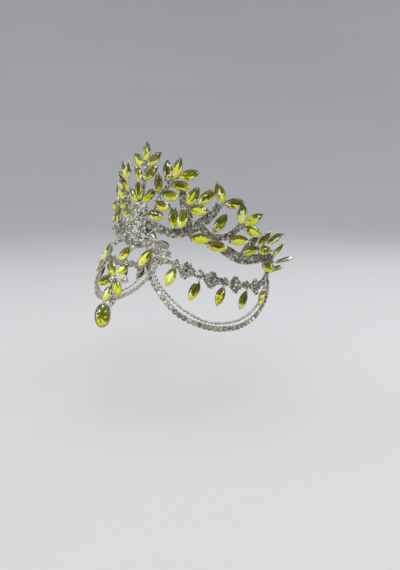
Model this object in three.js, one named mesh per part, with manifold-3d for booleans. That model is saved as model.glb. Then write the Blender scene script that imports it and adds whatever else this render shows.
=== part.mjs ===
import * as THREE from 'three';
import { ConvexGeometry } from 'three/addons/geometries/ConvexGeometry.js';
import { mergeVertices } from 'three/addons/utils/BufferGeometryUtils.js';
import Module from 'manifold-3d';

// A bridal crown with side bands, chain swags and a forehead drop, in millimetres.
// +Z is up as worn, the front faces -Y, the wearer's left is +X.
// The origin is the centre of the crown's base ring.

// ---------------------------------------------------------------- driving dimensions
const RING = { halfWidth: 76, halfLength: 78 }; // base ring of the crown's wall
const WALL_FLARE = 15; // degrees that the wall leans outward as it rises
const RING_TILT = 28; // degrees that the base ring drops from the front to the back
const HEAD = { back: -4, up: -43, halfWidth: 84, halfLength: 101, halfHeight: 111, tilt: -27 };
const PAVE = { thickness: 1.8 }; // plates set with small clear stones
const SHIELD = { thickness: 2.4, dome: 2.4, strips: 4 }; // the domed plate at the front
const SOLDER_GAP = 0.3; // kept between pieces that meet
const LEAF = { length: 19.8, width: 9.6, back: 1.4, girdle: 0.4, table: 2.4, proud: 2.6 };
const BAND_DROP_SCALE = 0.96; // against a crown leaf
const PETAL = { length: 16.6, width: 8.8 };
const STEM = { radius: 0.8, proud: 2.1, sides: 5, span: 7 };
const LATTICE = { thickness: 1.6 }; // a stem made wide enough for a double row of stones
const TWIG = { radius: 0.7, sides: 4, shortest: 1.4 };
const BAND = { thickness: 1.6, proud: 1.0 };
const CUP = {
  pitch: 5.3, // mm from cup to cup
  width: 4.7,
  neck: 1.6,
  thickness: 2,
  proud: 1.2,
  neckShare: 0.04, // where along the pitch the neck ends and the full cup starts
  cupShare: 0.24,
};
const BALL_CHAIN = { radius: 0.8, proud: 1.2, sides: 6, steps: 40 };
const OVAL = { width: 15.4, length: 21.6, back: 2, girdle: 1, table: 3, stoneShare: 0.86 };
const SIDES = { left: 1, right: -1 };

const SILVER = { color: 0xd4d6d8, roughness: 0.22, metalness: 1 };
const CLEAR_STONE = { color: 0xe4e6e8, roughness: 0.08, metalness: 0.3 };
const CITRINE = { color: 0xc9cf1c, roughness: 0.05, metalness: 0 };

// ---------------------------------------------------------------- tables
// around: degrees from the front, up: mm along the flared wall from the base ring,
// lean: degrees of the leaf from upright, away from the front,
// lift: degrees that the leaf's tip stands off the wall, width: mm across,
// proud: mm that the middle of a strip stands off the surface.
// lattice: mm across a stem that carries a double row of stones.
const LEAF_COLUMNS = ['around', 'up', 'lean', 'lift'];
const PATH_COLUMNS = ['around', 'up', 'width', 'proud'];

const SPRAYS = {
  plume: {
    stem: [[10, 14.5], [11.6, 24], [14.6, 34], [18, 43], [20, 49]],
    lattice: 4.4,
    leaves: [
      [14, 16, 90, 0],
      [18, 25, 90, 5],
      [21, 35, 90, 5],
      [26, 45, 90, 5],
      [29, 55.5, 64, 10],
      [22, 58.5, 11, 10],
      [16.5, 55.5, -12, 5],
      [14.1, 43.6, 18, 35],
    ],
  },
  star: {
    stem: [[31.5, 10], [31.5, 19], [31.5, 28]],
    lattice: 3.8,
    leaves: [
      [26.3, 17, 164, 5],
      [32, 19, 174, 15],
      [34, 39, 19, 10],
      [41, 41.5, 31, 10],
      [39.5, 29.5, 78, 20],
    ],
  },
  fork: {
    stem: [[48.5, 33], [51, 40]],
    leaves: [
      [47.3, 48.5, -41, 10],
      [56.5, 45.5, 63, 0],
    ],
  },
  trefoil: {
    stem: [[63, 22], [65, 27], [67, 31]],
    lattice: 4.4,
    leaves: [
      [63, 39.5, -21, 5],
      [70.3, 40, 31, 10],
      [73.5, 31.2, 88, 10],
    ],
  },
  trail: {
    stem: [[38, 6], [43, 6], [50, 5], [56, 5.5]],
    leaves: [
      [45.5, 7, 73, 15],
      [56.5, 6, 79, 10],
    ],
  },
  vine: {
    stem: [[51.5, 16], [54, 13.5], [58, 13.5], [62, 15.5]],
    leaves: [
      [53, 25.5, 12, 15],
      [67.5, 18.5, 68, 10],
    ],
  },
  fan: {
    stem: [[75, 9], [79, 14], [83, 19], [88, 28]],
    lattice: 4.4,
    leaves: [
      [79, 15, 53, 0],
      [90.4, 22.6, 70, 0],
      [82.2, 29.8, -14, 25],
      [92.6, 37.2, 38, 5],
    ],
  },
  tail: {
    stem: [[96, 12], [102, 16.5], [108, 19.5], [114, 23]],
    leaves: [
      [100, 31.3, -33, 20],
      [113, 29, -41, 45],
      [101.7, 12, 80, 20],
      [107, 15.5, -50, 45],
    ],
  },
};

const CENTRE_TREE = {
  stem: [[0, 27], [0, 36], [0, 50], [0, 63]],
  lattice: 4.4,
  leaves: [
    [0, 71, 0, 5],
    [6.4, 64.5, 50, 3],
    [-6.4, 64.5, -50, 3],
    [5.2, 52.2, 49, 0],
    [-5.2, 52.2, -49, 0],
    [0, 35.6, 0, 20],
    [6.8, 32, 50, 3],
    [-6.8, 32, -50, 3],
  ],
};

const PLATES = {
  front_plate: [
    [0, 25.3, 14, 2.4], [0, 21, 20, 2.4], [0, 14, 20, 2.4], [0, 6, 18.5, 2.5],
    [0, 0, 17, 3], [0, -4.5, 15.5, 3.5], [0, -8.5, 12, 4], [0, -12.2, 6, 4.4],
  ],
  arch_front: [
    [4, 9, 8], [8, 7.5, 9], [15, 5.5, 9], [22, 4, 8.5], [29, 4.5, 9],
    [34.5, 8, 9], [39.5, 14, 9.5], [44, 22, 9], [47.5, 30.5, 8], [49, 40, 6.5],
  ],
  stone_sprig: [[27, 44, 4], [27.5, 38, 6], [29.5, 30, 6.5], [34, 23, 6.5], [37, 14, 6.5]],
  scroll: [[43, 17, 6], [47, 14, 6], [52, 12, 6], [57, 14, 6], [61, 18, 6], [64, 24, 6], [65.5, 30, 4]],
  arch_rear: [
    [44, 6, 5], [52, 7, 6], [60, 6, 7.5], [67, 5, 9.5], [74, 4.5, 9.5],
    [81, 6.5, 9.5], [88, 11, 9], [94, 16, 9], [101, 20, 9], [108, 21.5, 8], [114, 21, 5],
  ],
  rear_rise: [[77, 8, 6], [78, 16, 8], [79.5, 24, 8], [81, 30, 4]],
};

// On the head's surface, around and up are degrees about the head's centre.
const BAND_ROWS = [
  [10.5, 22.5, 6], [11.8, 17, 11.5], [14.8, 15.6, 6.5], [18.5, 14.6, 8.6], [22, 12.7, 6.8],
  [27, 11.1, 15.6], [31, 10.2, 7], [34, 10.1, 8.4], [37, 9.2, 7],
  [41, 8.4, 16], [45, 8.6, 7.6], [48, 8.9, 8.8], [51.5, 8.5, 7.6],
  [55.7, 8.2, 16.4], [59.7, 9, 7], [63, 9.8, 8.6], [66.3, 9.9, 7],
  [70, 10.4, 16], [74.3, 11.6, 7], [77.8, 12.7, 8.6], [81.3, 13.1, 7],
  [85, 14, 15], [89.3, 16.6, 7], [94.3, 20.5, 8.6], [97.5, 25, 6.5],
];
// aroundTop, upTop: the drop's upper end, aroundTip, upTip: its lower end, proud: mm off the head.
const DROP_COLUMNS = ['aroundTop', 'upTop', 'aroundTip', 'upTip', 'proud'];
const BAND_DROPS = [
  [19.2, 12.8, 16.2, 4.2, 4.6],
  [35.1, 8.5, 33.8, -0.3, 3.5],
  [49, 5.9, 47.5, -2.6, 3.5],
  [62.5, 7.6, 61.7, -1.1, 3.5],
  [77.1, 9.9, 75.6, 1.6, 3.5],
  [91.1, 15.1, 89.6, 6.9, 4.1],
];
const CUP_ROUTE = [
  [18.6, 13.6], [19.6, 6.5], [24, 0.5], [33.6, -6], [44, -10.9], [55.2, -12.4], [67.3, -11.5],
  [80.5, -7], [91.1, 1.2], [98, 12.8], [98.6, 24],
];
const BALL_ROUTE = [
  [22, 12.4], [23.4, 5.5], [27.3, 0.8], [33.4, -3.2], [43.7, -7.6], [53.3, -9.7], [61.5, -9.9],
  [69.3, -8.3], [77.4, -5], [85, 0.4], [90, 6.6], [93.4, 13], [94.4, 20.6],
];

// The forehead drop follows a line in the plane of symmetry. forward and height are mm.
const FOREHEAD_LINE = [
  [74, 24], [78.5, 18.5], [84.5, 13], [91, 6], [97, -2], [102.5, -12], [107, -22], [111, -33], [113.5, -44],
];
// along: mm down the line, aside: mm to the wearer's left, proud: mm off the line.
// turn: degrees from straight down and roll: degrees from facing forward, to the wearer's left.
const FOREHEAD_PIECES = {
  drop_link_top: { along: 2.4, aside: 0, proud: 0.4, turn: 0, roll: 0, length: 5.2, width: 4.6 },
  drop_leaf: { along: 12, aside: -3, proud: 2.2, turn: 8, roll: 24, length: 18.4, width: 9.2 },
  drop_link_middle: { along: 21.2, aside: 3, proud: -2, turn: -20, roll: 0, length: 5.4, width: 4.8 },
  drop_flower: { along: 37, aside: 0, proud: 1.2, turn: 0, roll: 20 },
  drop_link_lower: { along: 56, aside: 4.4, proud: -2, turn: -12, roll: 0, length: 10, width: 7.4 },
  drop_oval: { along: 70.5, aside: -0.5, proud: 1, turn: 4, roll: 20 },
};
// Each petal's middle, mm from the flower's hub, and the way that it points.
const PETALS = [
  { aside: -6.4, down: -9, turn: -146 },
  { aside: 4.6, down: -9.6, turn: 144 },
  { aside: -7.7, down: 3.6, turn: -49 },
  { aside: 7.2, down: -2.4, turn: 80 },
  { aside: 6.6, down: 6.8, turn: 39 },
  { aside: -0.3, down: 14.2, turn: -3 },
];
const HUB = { radius: 5.4, thickness: 1.6 };

// ---------------------------------------------------------------- surfaces
const radians = THREE.MathUtils.degToRad;
const Z_AXIS = new THREE.Vector3(0, 0, 1);
const X_AXIS = new THREE.Vector3(1, 0, 0);

function rows(columns, values) {
  return values.map((row) => Object.fromEntries(columns.map((column, i) => [column, row[i]])));
}

/** A point on the crown's flared wall, with the directions around, up and out of it. */
function wallFrame(around, up) {
  const angle = radians(around);
  const flare = radians(WALL_FLARE);
  const foot = new THREE.Vector3(
    RING.halfWidth * Math.sin(angle),
    -RING.halfLength * Math.cos(angle),
    0,
  );
  const level = new THREE.Vector3(foot.x / RING.halfWidth ** 2, foot.y / RING.halfLength ** 2, 0);
  level.normalize();
  const rise = level.clone().multiplyScalar(Math.sin(flare)).addScaledVector(Z_AXIS, Math.cos(flare));
  const out = level.clone().multiplyScalar(Math.cos(flare)).addScaledVector(Z_AXIS, -Math.sin(flare));
  const along = new THREE.Vector3(-level.y, level.x, 0);
  const origin = foot.addScaledVector(rise, up);
  for (const vector of [origin, rise, out, along]) {
    vector.applyAxisAngle(X_AXIS, -radians(RING_TILT));
  }
  return { origin, along, rise, out };
}

/** A point on the head that the crown is worn on, with the directions around, up and out of it. */
function headFrame(around, up) {
  const spot = (a, u) => new THREE.Vector3(
    HEAD.halfWidth * Math.cos(radians(u)) * Math.sin(radians(a)),
    -HEAD.halfLength * Math.cos(radians(u)) * Math.cos(radians(a)),
    HEAD.halfHeight * Math.sin(radians(u)),
  );
  const step = 0.01;
  const origin = spot(around, up);
  const along = spot(around + step, up).sub(origin).normalize();
  const rise = spot(around, up + step).sub(origin).normalize();
  const out = along.clone().cross(rise).normalize();
  for (const vector of [origin, rise, out, along]) {
    vector.applyAxisAngle(X_AXIS, radians(HEAD.tilt));
  }
  origin.add(new THREE.Vector3(0, HEAD.back, HEAD.up));
  return { origin, along, rise, out };
}

/** A curve through table rows: at(t) gives the row's columns blended at t from 0 to 1. */
function blend(columns, values) {
  const curves = columns.map((column, i) => new THREE.CatmullRomCurve3(
    values.map((row, k) => new THREE.Vector3(row[i], k, 0)),
    false,
    'catmullrom',
    0.4,
  ));
  return (t) => Object.fromEntries(columns.map((column, i) => [column, curves[i].getPoint(t).x]));
}

function mirrored(values, side, signed) {
  return values.map((row) => row.map((value, i) => (signed.includes(i) ? side * value : value)));
}

// ---------------------------------------------------------------- solids
const wasm = await Module();
wasm.setup();

function toSolid(geometry) {
  const bare = geometry.clone();
  bare.deleteAttribute('normal');
  bare.deleteAttribute('uv');
  const merged = mergeVertices(bare, 1e-4);
  return new wasm.Manifold(new wasm.Mesh({
    numProp: 3,
    vertProperties: new Float32Array(merged.attributes.position.array),
    triVerts: new Uint32Array(merged.index.array),
  }));
}

function toGeometry(solid) {
  const mesh = solid.getMesh();
  const geometry = new THREE.BufferGeometry();
  geometry.setAttribute('position', new THREE.BufferAttribute(mesh.vertProperties, 3));
  geometry.setIndex(new THREE.BufferAttribute(mesh.triVerts, 1));
  return geometry;
}

function join(solids) {
  return solids.reduce((whole, piece) => whole.add(piece));
}

/** Puts a shape whose +X is its length and whose +Z is its face at a place. */
function placed(geometry, origin, direction, face) {
  const x = direction.clone().normalize();
  const y = face.clone().cross(x).normalize();
  const z = x.clone().cross(y);
  const matrix = new THREE.Matrix4().makeBasis(x, y, z).setPosition(origin);
  return geometry.clone().applyMatrix4(matrix);
}

/** A faceted stone in its setting: three outlines, at the back, the girdle and the table. */
function cutStone(outline, levels) {
  const points = [];
  for (const { height, share } of levels) {
    for (const [x, y] of outline) {
      points.push(new THREE.Vector3(x * share, y * share, height));
    }
  }
  return new ConvexGeometry(points);
}

function navetteOutline(length, width) {
  const outline = [];
  for (const [share, spread] of [[1, 0], [0.55, 0.74], [0, 1], [-0.55, 0.74], [-1, 0]]) {
    outline.push([share * length / 2, spread * width / 2]);
    if (spread > 0) outline.push([share * length / 2, -spread * width / 2]);
  }
  return outline;
}

function ovalOutline(length, width, corners = 12) {
  return Array.from({ length: corners }, (unused, i) => {
    const turn = 2 * Math.PI * i / corners;
    return [Math.cos(turn) * length / 2, Math.sin(turn) * width / 2];
  });
}

function leafShape(length = LEAF.length, width = LEAF.width) {
  return cutStone(navetteOutline(length, width), [
    { height: -LEAF.back, share: 0.76 },
    { height: LEAF.girdle, share: 1 },
    { height: LEAF.table, share: 0.5 },
  ]);
}

function tube(points, radius, sides, steps) {
  const section = new THREE.Shape();
  for (let i = 0; i < sides; i += 1) {
    const turn = 2 * Math.PI * i / sides;
    const corner = [radius * Math.cos(turn), radius * Math.sin(turn)];
    if (i === 0) section.moveTo(...corner);
    else section.lineTo(...corner);
  }
  section.closePath();
  const path = new THREE.CatmullRomCurve3(points);
  return new THREE.ExtrudeGeometry(section, { extrudePath: path, steps, curveSegments: 1 });
}

/** A flat strip that follows a surface, with its width taken from the table at each place. */
function ribbon(surface, values, side, body) {
  const { thickness, proud = 0, segments, dome = 0, strips = 1, grow = 0 } = body;
  const columns = PATH_COLUMNS.slice(0, values[0].length);
  const at = blend(columns, mirrored(values, side, [0]));
  const centre = (t) => {
    const row = at(t);
    return surface(row.around, row.up);
  };
  const geometry = new THREE.BoxGeometry(1, 1, 1, segments, strips, 1);
  const position = geometry.attributes.position;
  const step = 1e-3;
  for (let i = 0; i < position.count; i += 1) {
    const t = position.getX(i) + 0.5;
    const frame = centre(t);
    const { width, proud: offset = proud } = at(t);
    const ahead = centre(Math.min(1, t + step)).origin;
    const behind = centre(Math.max(0, t - step)).origin;
    const tangent = ahead.clone().sub(behind).normalize();
    const across = frame.out.clone().cross(tangent).normalize();
    const end = t < step ? -grow : (t > 1 - step ? grow : 0);
    const y = position.getY(i);
    const z = position.getZ(i);
    const rise = z > 0 ? dome * (1 - 4 * y * y) * Math.sin(Math.PI * t) : 0;
    const point = frame.origin
      .addScaledVector(tangent, end)
      .addScaledVector(across, y * (width + 2 * grow))
      .addScaledVector(frame.out, offset + rise + z * (thickness + 2 * grow));
    position.setXYZ(i, point.x, point.y, point.z);
  }
  return toSolid(geometry);
}

// ---------------------------------------------------------------- pieces
function wallPlate(name, side, grow = 0) {
  const values = PLATES[name];
  const segments = 2 * (values.length - 1);
  const body = name === 'front_plate' ? SHIELD : PAVE;
  return ribbon(wallFrame, values, side, { ...body, segments, grow });
}

function wallLeaf(row) {
  const frame = wallFrame(row.around, row.up);
  const lean = radians(row.lean);
  const lift = radians(row.lift);
  const direction = frame.rise.clone().multiplyScalar(Math.cos(lean) * Math.cos(lift))
    .addScaledVector(frame.along, Math.sin(lean) * Math.cos(lift))
    .addScaledVector(frame.out, Math.sin(lift));
  const proud = LEAF.proud + LEAF.length / 2 * Math.sin(lift);
  const origin = frame.origin.clone().addScaledVector(frame.out, proud);
  const base = origin.clone().addScaledVector(direction, -0.4 * LEAF.length);
  return { solid: toSolid(placed(leafShape(), origin, direction, frame.out)), base };
}

function latticeStem(stem, width, side) {
  const values = stem.map(([around, up]) => [around, up, width]);
  const segments = 2 * (stem.length - 1);
  return ribbon(wallFrame, values, side, { ...LATTICE, proud: STEM.proud, segments });
}

function spray({ stem, lattice, leaves }, side) {
  const stemPoints = mirrored(stem, side, [0]).map(([around, up]) => {
    const frame = wallFrame(around, up);
    return frame.origin.addScaledVector(frame.out, STEM.proud);
  });
  const curve = new THREE.CatmullRomCurve3(stemPoints);
  const steps = Math.max(2, Math.round(curve.getLength() / STEM.span));
  const solids = [
    lattice
      ? latticeStem(stem, lattice, side)
      : toSolid(tube(stemPoints, STEM.radius, STEM.sides, steps)),
  ];
  const samples = curve.getSpacedPoints(60);
  for (const row of rows(LEAF_COLUMNS, mirrored(leaves, side, [0, 2]))) {
    const leaf = wallLeaf(row);
    const nearest = samples.reduce((a, b) => (
      a.distanceTo(leaf.base) < b.distanceTo(leaf.base) ? a : b
    ));
    if (leaf.base.distanceTo(nearest) > TWIG.shortest) {
      solids.push(toSolid(tube([nearest, leaf.base], TWIG.radius, TWIG.sides, 1)));
    }
    solids.push(leaf.solid);
  }
  return join(solids);
}

function headPoint(around, up, proud) {
  const frame = headFrame(around, up);
  return { ...frame, origin: frame.origin.addScaledVector(frame.out, proud) };
}

function bandStrip(side, grow = 0) {
  const segments = BAND_ROWS.length - 1;
  return ribbon(headFrame, BAND_ROWS, side, { ...BAND, segments, grow });
}

function bandDrop({ aroundTop, upTop, aroundTip, upTip, proud }, side) {
  const top = headPoint(side * aroundTop, upTop, proud);
  const tip = headPoint(side * aroundTip, upTip, proud);
  const direction = tip.origin.clone().sub(top.origin).normalize();
  const centre = top.origin.clone().addScaledVector(direction, LEAF.length / 2);
  const shape = leafShape(LEAF.length * BAND_DROP_SCALE, LEAF.width * BAND_DROP_SCALE);
  return toSolid(placed(shape, centre, direction, top.out));
}

function routePoints(route, side, proud) {
  return mirrored(route, side, [0]).map(([around, up]) => headPoint(around, up, proud).origin);
}

/** Table rows for cups side by side on a narrow strip, as a cup chain is. */
function cupRows() {
  const at = blend(['around', 'up'], CUP_ROUTE);
  const line = new THREE.CatmullRomCurve3(
    Array.from({ length: 61 }, (unused, i) => headPoint(at(i / 60).around, at(i / 60).up, 0).origin),
  );
  const count = Math.round(line.getLength() / CUP.pitch);
  const outline = [
    [CUP.neckShare, CUP.neck],
    [CUP.cupShare, CUP.width],
    [1 - CUP.cupShare, CUP.width],
    [1 - CUP.neckShare, CUP.neck],
  ];
  const values = [];
  for (let i = 0; i < count; i += 1) {
    for (const [share, width] of outline) {
      const spot = at(line.getUtoTmapping((i + share) / count));
      values.push([spot.around, spot.up, width]);
    }
  }
  return values;
}

function cupChain(side) {
  const values = cupRows();
  return ribbon(headFrame, values, side, {
    thickness: CUP.thickness,
    proud: CUP.proud,
    segments: values.length - 1,
  });
}

function ballChain(side) {
  const points = routePoints(BALL_ROUTE, side, BALL_CHAIN.proud);
  return toSolid(tube(points, BALL_CHAIN.radius, BALL_CHAIN.sides, BALL_CHAIN.steps));
}

const foreheadLine = new THREE.CatmullRomCurve3(
  FOREHEAD_LINE.map(([forward, height]) => new THREE.Vector3(0, -forward, height)),
);

/** A place on the forehead drop: down is the way the piece points, out faces forward. */
function foreheadFrame({ along, aside, proud, turn, roll }) {
  const t = along / foreheadLine.getLength();
  const line = foreheadLine.getTangentAt(t).normalize();
  const out = line.clone().cross(X_AXIS).normalize();
  if (out.y > 0) out.negate();
  const origin = foreheadLine.getPointAt(t)
    .addScaledVector(out, proud)
    .addScaledVector(X_AXIS, aside);
  const down = turned(line, X_AXIS, turn);
  out.applyAxisAngle(down, -radians(roll));
  const left = X_AXIS.clone().applyAxisAngle(line, -radians(roll));
  return { origin, line, left, down, out };
}

function turned(line, left, turn) {
  return line.clone().multiplyScalar(Math.cos(radians(turn)))
    .addScaledVector(left, Math.sin(radians(turn)));
}

function foreheadLink(name) {
  const frame = foreheadFrame(FOREHEAD_PIECES[name]);
  const { length, width } = FOREHEAD_PIECES[name];
  const shape = cutStone(ovalOutline(length, width, 8), [
    { height: -1, share: 0.8 },
    { height: 0.5, share: 1 },
    { height: 1.4, share: 0.6 },
  ]);
  return toSolid(placed(shape, frame.origin, frame.down, frame.out));
}

function foreheadLeaf() {
  const frame = foreheadFrame(FOREHEAD_PIECES.drop_leaf);
  const { length, width } = FOREHEAD_PIECES.drop_leaf;
  return toSolid(placed(leafShape(length, width), frame.origin, frame.down, frame.out));
}

function foreheadFlower() {
  const frame = foreheadFrame(FOREHEAD_PIECES.drop_flower);
  const hub = new THREE.CylinderGeometry(HUB.radius, HUB.radius, HUB.thickness, 8, 1);
  hub.rotateX(Math.PI / 2);
  const solids = [toSolid(placed(hub, frame.origin, frame.down, frame.out))];
  const lowest = PETALS.at(-1);
  const tail = frame.origin.clone().addScaledVector(frame.line, lowest.down - PETAL.length * 0.4);
  solids.push(toSolid(tube([frame.origin, tail], STEM.radius, STEM.sides, 1)));
  for (const { aside, down, turn } of PETALS) {
    const origin = frame.origin.clone()
      .addScaledVector(frame.left, aside)
      .addScaledVector(frame.line, down);
    const petal = leafShape(PETAL.length, PETAL.width);
    solids.push(toSolid(placed(petal, origin, turned(frame.line, frame.left, turn), frame.out)));
  }
  return join(solids);
}

function ovalPiece(share, levels) {
  const frame = foreheadFrame(FOREHEAD_PIECES.drop_oval);
  const shape = cutStone(ovalOutline(OVAL.length * share, OVAL.width * share, 14), levels);
  return toSolid(placed(shape, frame.origin, frame.down, frame.out));
}

// ---------------------------------------------------------------- assembly
const crown = new THREE.Group();
crown.name = 'bridal_crown';

function addPiece(name, solid, finish) {
  const mesh = new THREE.Mesh(toGeometry(solid), new THREE.MeshStandardMaterial(finish));
  mesh.name = name;
  crown.add(mesh);
}

const plateRoom = wallPlate('front_plate', 1, SOLDER_GAP);
addPiece('front_plate', wallPlate('front_plate', 1), CLEAR_STONE);
addPiece('centre_tree', spray(CENTRE_TREE, 1), CITRINE);

for (const [sideName, side] of Object.entries(SIDES)) {
  const archRoom = wallPlate('arch_front', side, SOLDER_GAP);
  const scrollRoom = wallPlate('scroll', side, SOLDER_GAP);
  const archFront = join([wallPlate('arch_front', side), wallPlate('stone_sprig', side)]);
  const archRear = join([wallPlate('arch_rear', side), wallPlate('rear_rise', side)]);
  addPiece(`arch_front_${sideName}`, archFront.subtract(plateRoom), CLEAR_STONE);
  addPiece(`scroll_${sideName}`, wallPlate('scroll', side).subtract(archRoom), CLEAR_STONE);
  addPiece(
    `arch_rear_${sideName}`,
    archRear.subtract(archRoom).subtract(scrollRoom),
    CLEAR_STONE,
  );

  for (const [sprayName, table] of Object.entries(SPRAYS)) {
    addPiece(`${sprayName}_${sideName}`, spray(table, side), CITRINE);
  }

  const rearRoom = wallPlate('arch_rear', side, SOLDER_GAP);
  const bandRoom = bandStrip(side, SOLDER_GAP);
  addPiece(
    `band_${sideName}`,
    bandStrip(side).subtract(archRoom).subtract(rearRoom),
    CLEAR_STONE,
  );
  rows(DROP_COLUMNS, BAND_DROPS).forEach((row, i) => {
    addPiece(`band_drop_${sideName}_${i + 1}`, bandDrop(row, side), CITRINE);
  });
  addPiece(`cup_chain_${sideName}`, cupChain(side).subtract(bandRoom), SILVER);
  addPiece(`ball_chain_${sideName}`, ballChain(side).subtract(bandRoom), SILVER);
}

addPiece('drop_link_top', foreheadLink('drop_link_top').subtract(plateRoom), CLEAR_STONE);
addPiece('drop_leaf', foreheadLeaf(), CITRINE);
addPiece('drop_link_middle', foreheadLink('drop_link_middle'), CLEAR_STONE);
addPiece('drop_flower', foreheadFlower(), CITRINE);
addPiece('drop_link_lower', foreheadLink('drop_link_lower'), CLEAR_STONE);
addPiece('drop_oval_setting', ovalPiece(1, [
  { height: -OVAL.back, share: 0.8 },
  { height: OVAL.girdle, share: 1 },
]), SILVER);
addPiece('drop_oval_stone', ovalPiece(OVAL.stoneShare, [
  { height: OVAL.girdle + SOLDER_GAP, share: 1 },
  { height: OVAL.table + SOLDER_GAP, share: 0.66 },
]), CITRINE);

export default crown;
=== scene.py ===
"""Looks of the bridal crown: set stones, paved arches, bands, chains and the forehead drop.

Sizes are in millimetres until a piece is finished, and then it is scaled to metres.
+Z is up as worn, the front faces -Y and +X is the wearer's left.
"""

import math
import random
from collections import namedtuple

import bmesh
import bpy
from mathutils import Matrix, Vector


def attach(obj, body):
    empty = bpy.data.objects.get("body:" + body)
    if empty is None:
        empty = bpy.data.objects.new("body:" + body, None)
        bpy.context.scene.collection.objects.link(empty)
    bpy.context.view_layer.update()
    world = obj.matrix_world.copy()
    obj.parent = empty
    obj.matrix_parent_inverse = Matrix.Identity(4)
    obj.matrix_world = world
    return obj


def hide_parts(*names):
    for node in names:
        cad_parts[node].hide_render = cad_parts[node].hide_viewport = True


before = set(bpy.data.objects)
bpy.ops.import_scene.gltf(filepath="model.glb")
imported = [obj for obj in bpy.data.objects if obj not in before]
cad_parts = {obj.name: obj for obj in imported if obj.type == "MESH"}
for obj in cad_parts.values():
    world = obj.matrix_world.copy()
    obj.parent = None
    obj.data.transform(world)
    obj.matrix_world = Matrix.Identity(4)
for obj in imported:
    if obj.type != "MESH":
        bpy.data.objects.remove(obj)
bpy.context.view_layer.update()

MM = 0.001
TAU = 2 * math.pi
UP = Vector((0, 0, 1))
X_AXIS = Vector((1, 0, 0))
ON_EDGE = Matrix.Rotation(math.pi / 2, 4, "X")  # turns a ring that lies flat so that it stands up
SIDES = {"left": 1, "right": -1}
chance = random.Random(7)

# ---------------------------------------------------------------- sizes
# The wall that the crown follows: half sizes of the oval at its foot, degrees that the wall leans out,
# and degrees that the whole of it is tilted back.
RING = {"half_width": 76.0, "half_length": 78.0, "flare": 15.0, "tilt": 28.0}
# The head that it is worn on: half sizes of an oval body, and its middle's place and tilt.
HEAD = {
    "half_width": 84.0, "half_length": 101.0, "half_height": 111.0,
    "back": -4.0, "up": -43.0, "tilt": -27.0,
}

# A set marquise. foot: share of its length from its middle to where the stem meets it,
# kept_clear: mm round its middle where no small stone goes.
LEAF = {"length": 19.8, "width": 9.6, "proud": 2.6, "foot": 0.4, "kept_clear": 2.6}
PETAL = {"length": 16.6, "width": 8.8}
BAND_DROP_SCALE = 0.96
# A spray's stem, sampled every so many mm where twigs may start, and how far its paved plate is inset.
STEM = {
    "radius": 0.65, "proud": 2.1, "stone": 2.4, "stone_proud": 0.8, "closest": 0.8,
    "sample": 1.5, "fewest": 4, "inset": 1.0,
}
TWIG = {"radius": 0.5, "shortest": 1.4, "stone": 2.1, "stone_proud": 0.7}
LEAF_FOOT = {"proud": 0.9, "stones": [(0, 2.4), (2.1, 1.9), (-2.1, 1.9)]}  # aside and size of each stone

# Staggered rows: shares of a stone before the first, after the last and from row to row, and the
# smallest and largest stones as shares of the stated size.
ROWS = {"before": 0.45, "after": 0.3, "pitch": 0.87, "smallest": 0.9, "largest": 1.04}
CLAWED_FROM = 2.8  # a stone in a row has claws when it is larger than this
CLOSEST = 0.82  # how near two stones may be, as a share of their half sizes together
# The plate under the stones: mm below their seats, mm and fewest of its columns, and cells across.
PLATE = {"below": 0.5, "step": 1.6, "fewest": 8, "across": 5}
# The wire along a plate's edge: mm in from the edge, mm below the seats, and mm and fewest of its spans.
RIM = {"radius": 0.36, "inset": 0.25, "drop": 0.35, "step": 3.0, "fewest": 3}
EDGE_ROW_OUT = 0.3  # mm that the larger stones of an edge row stand past the edge
# Stones round the shield's edge that face sideways: degrees that they lean, mm in and mm below the seats.
SKIRT = {"stone": 2.2, "lean": 60, "inset": 0.5, "drop": 1.2, "closest": 0.7}

# Painted light: how much lighter the clear stones of each group are painted than the rest, with more
# painted glints where it is higher.
GLOW = {
    "front_plate": 0.2, "arch_front": -0.12, "scroll": -0.1, "arch_rear": -0.06,
    "cup_chain": 0.16, "link": 0.45, "flower": 0.25,
}
# Painted light: the clear stones at the front are painted lighter still.
FRONT_GLOW = {"more": 0.42, "fades": 26.0}  # how much more at the front, and mm until that ends

# The large oval. turn: height where its brightest painted light ends, claw_ring: share of its outline.
OVAL = {
    "width": 15.4, "length": 21.6, "turn": -0.3,
    "claws": 8, "claw": 1.6, "claw_up": 0.5, "claw_ring": 0.97,
}
# A cup of the cup chain, its stone and its claws. claw_out is a share of the cup's width.
CUP = {
    "pitch": 5.1, "width": 4.8, "height": 1.5, "corner": 1.35, "rim": 0.35, "hollow": 0.15,
    "stone": 3.9, "stone_proud": 0.62, "claw": 0.95, "claw_out": 0.52, "claw_up": 0.2,
    "kept_clear": 1.7, "closest": 0.8, "wire": 0.7,
}
# The wire between the balls is darkened by its tone as painted shade in the gaps.
BALLS = {"pitch": 3.6, "radius": 1.45, "wire": 0.35, "wire_painted_shade": 0.9}
CHAIN_PROUD = 1.2
CHAIN_WIRE_STEPS = 40
# mm from the end of each piece to the middle of the jump ring there.
RING_OUT = {"band_drop": 0.5, "link": 0.4, "top_link": 0.7, "leaf": 0.8, "oval": 0.8}

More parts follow.
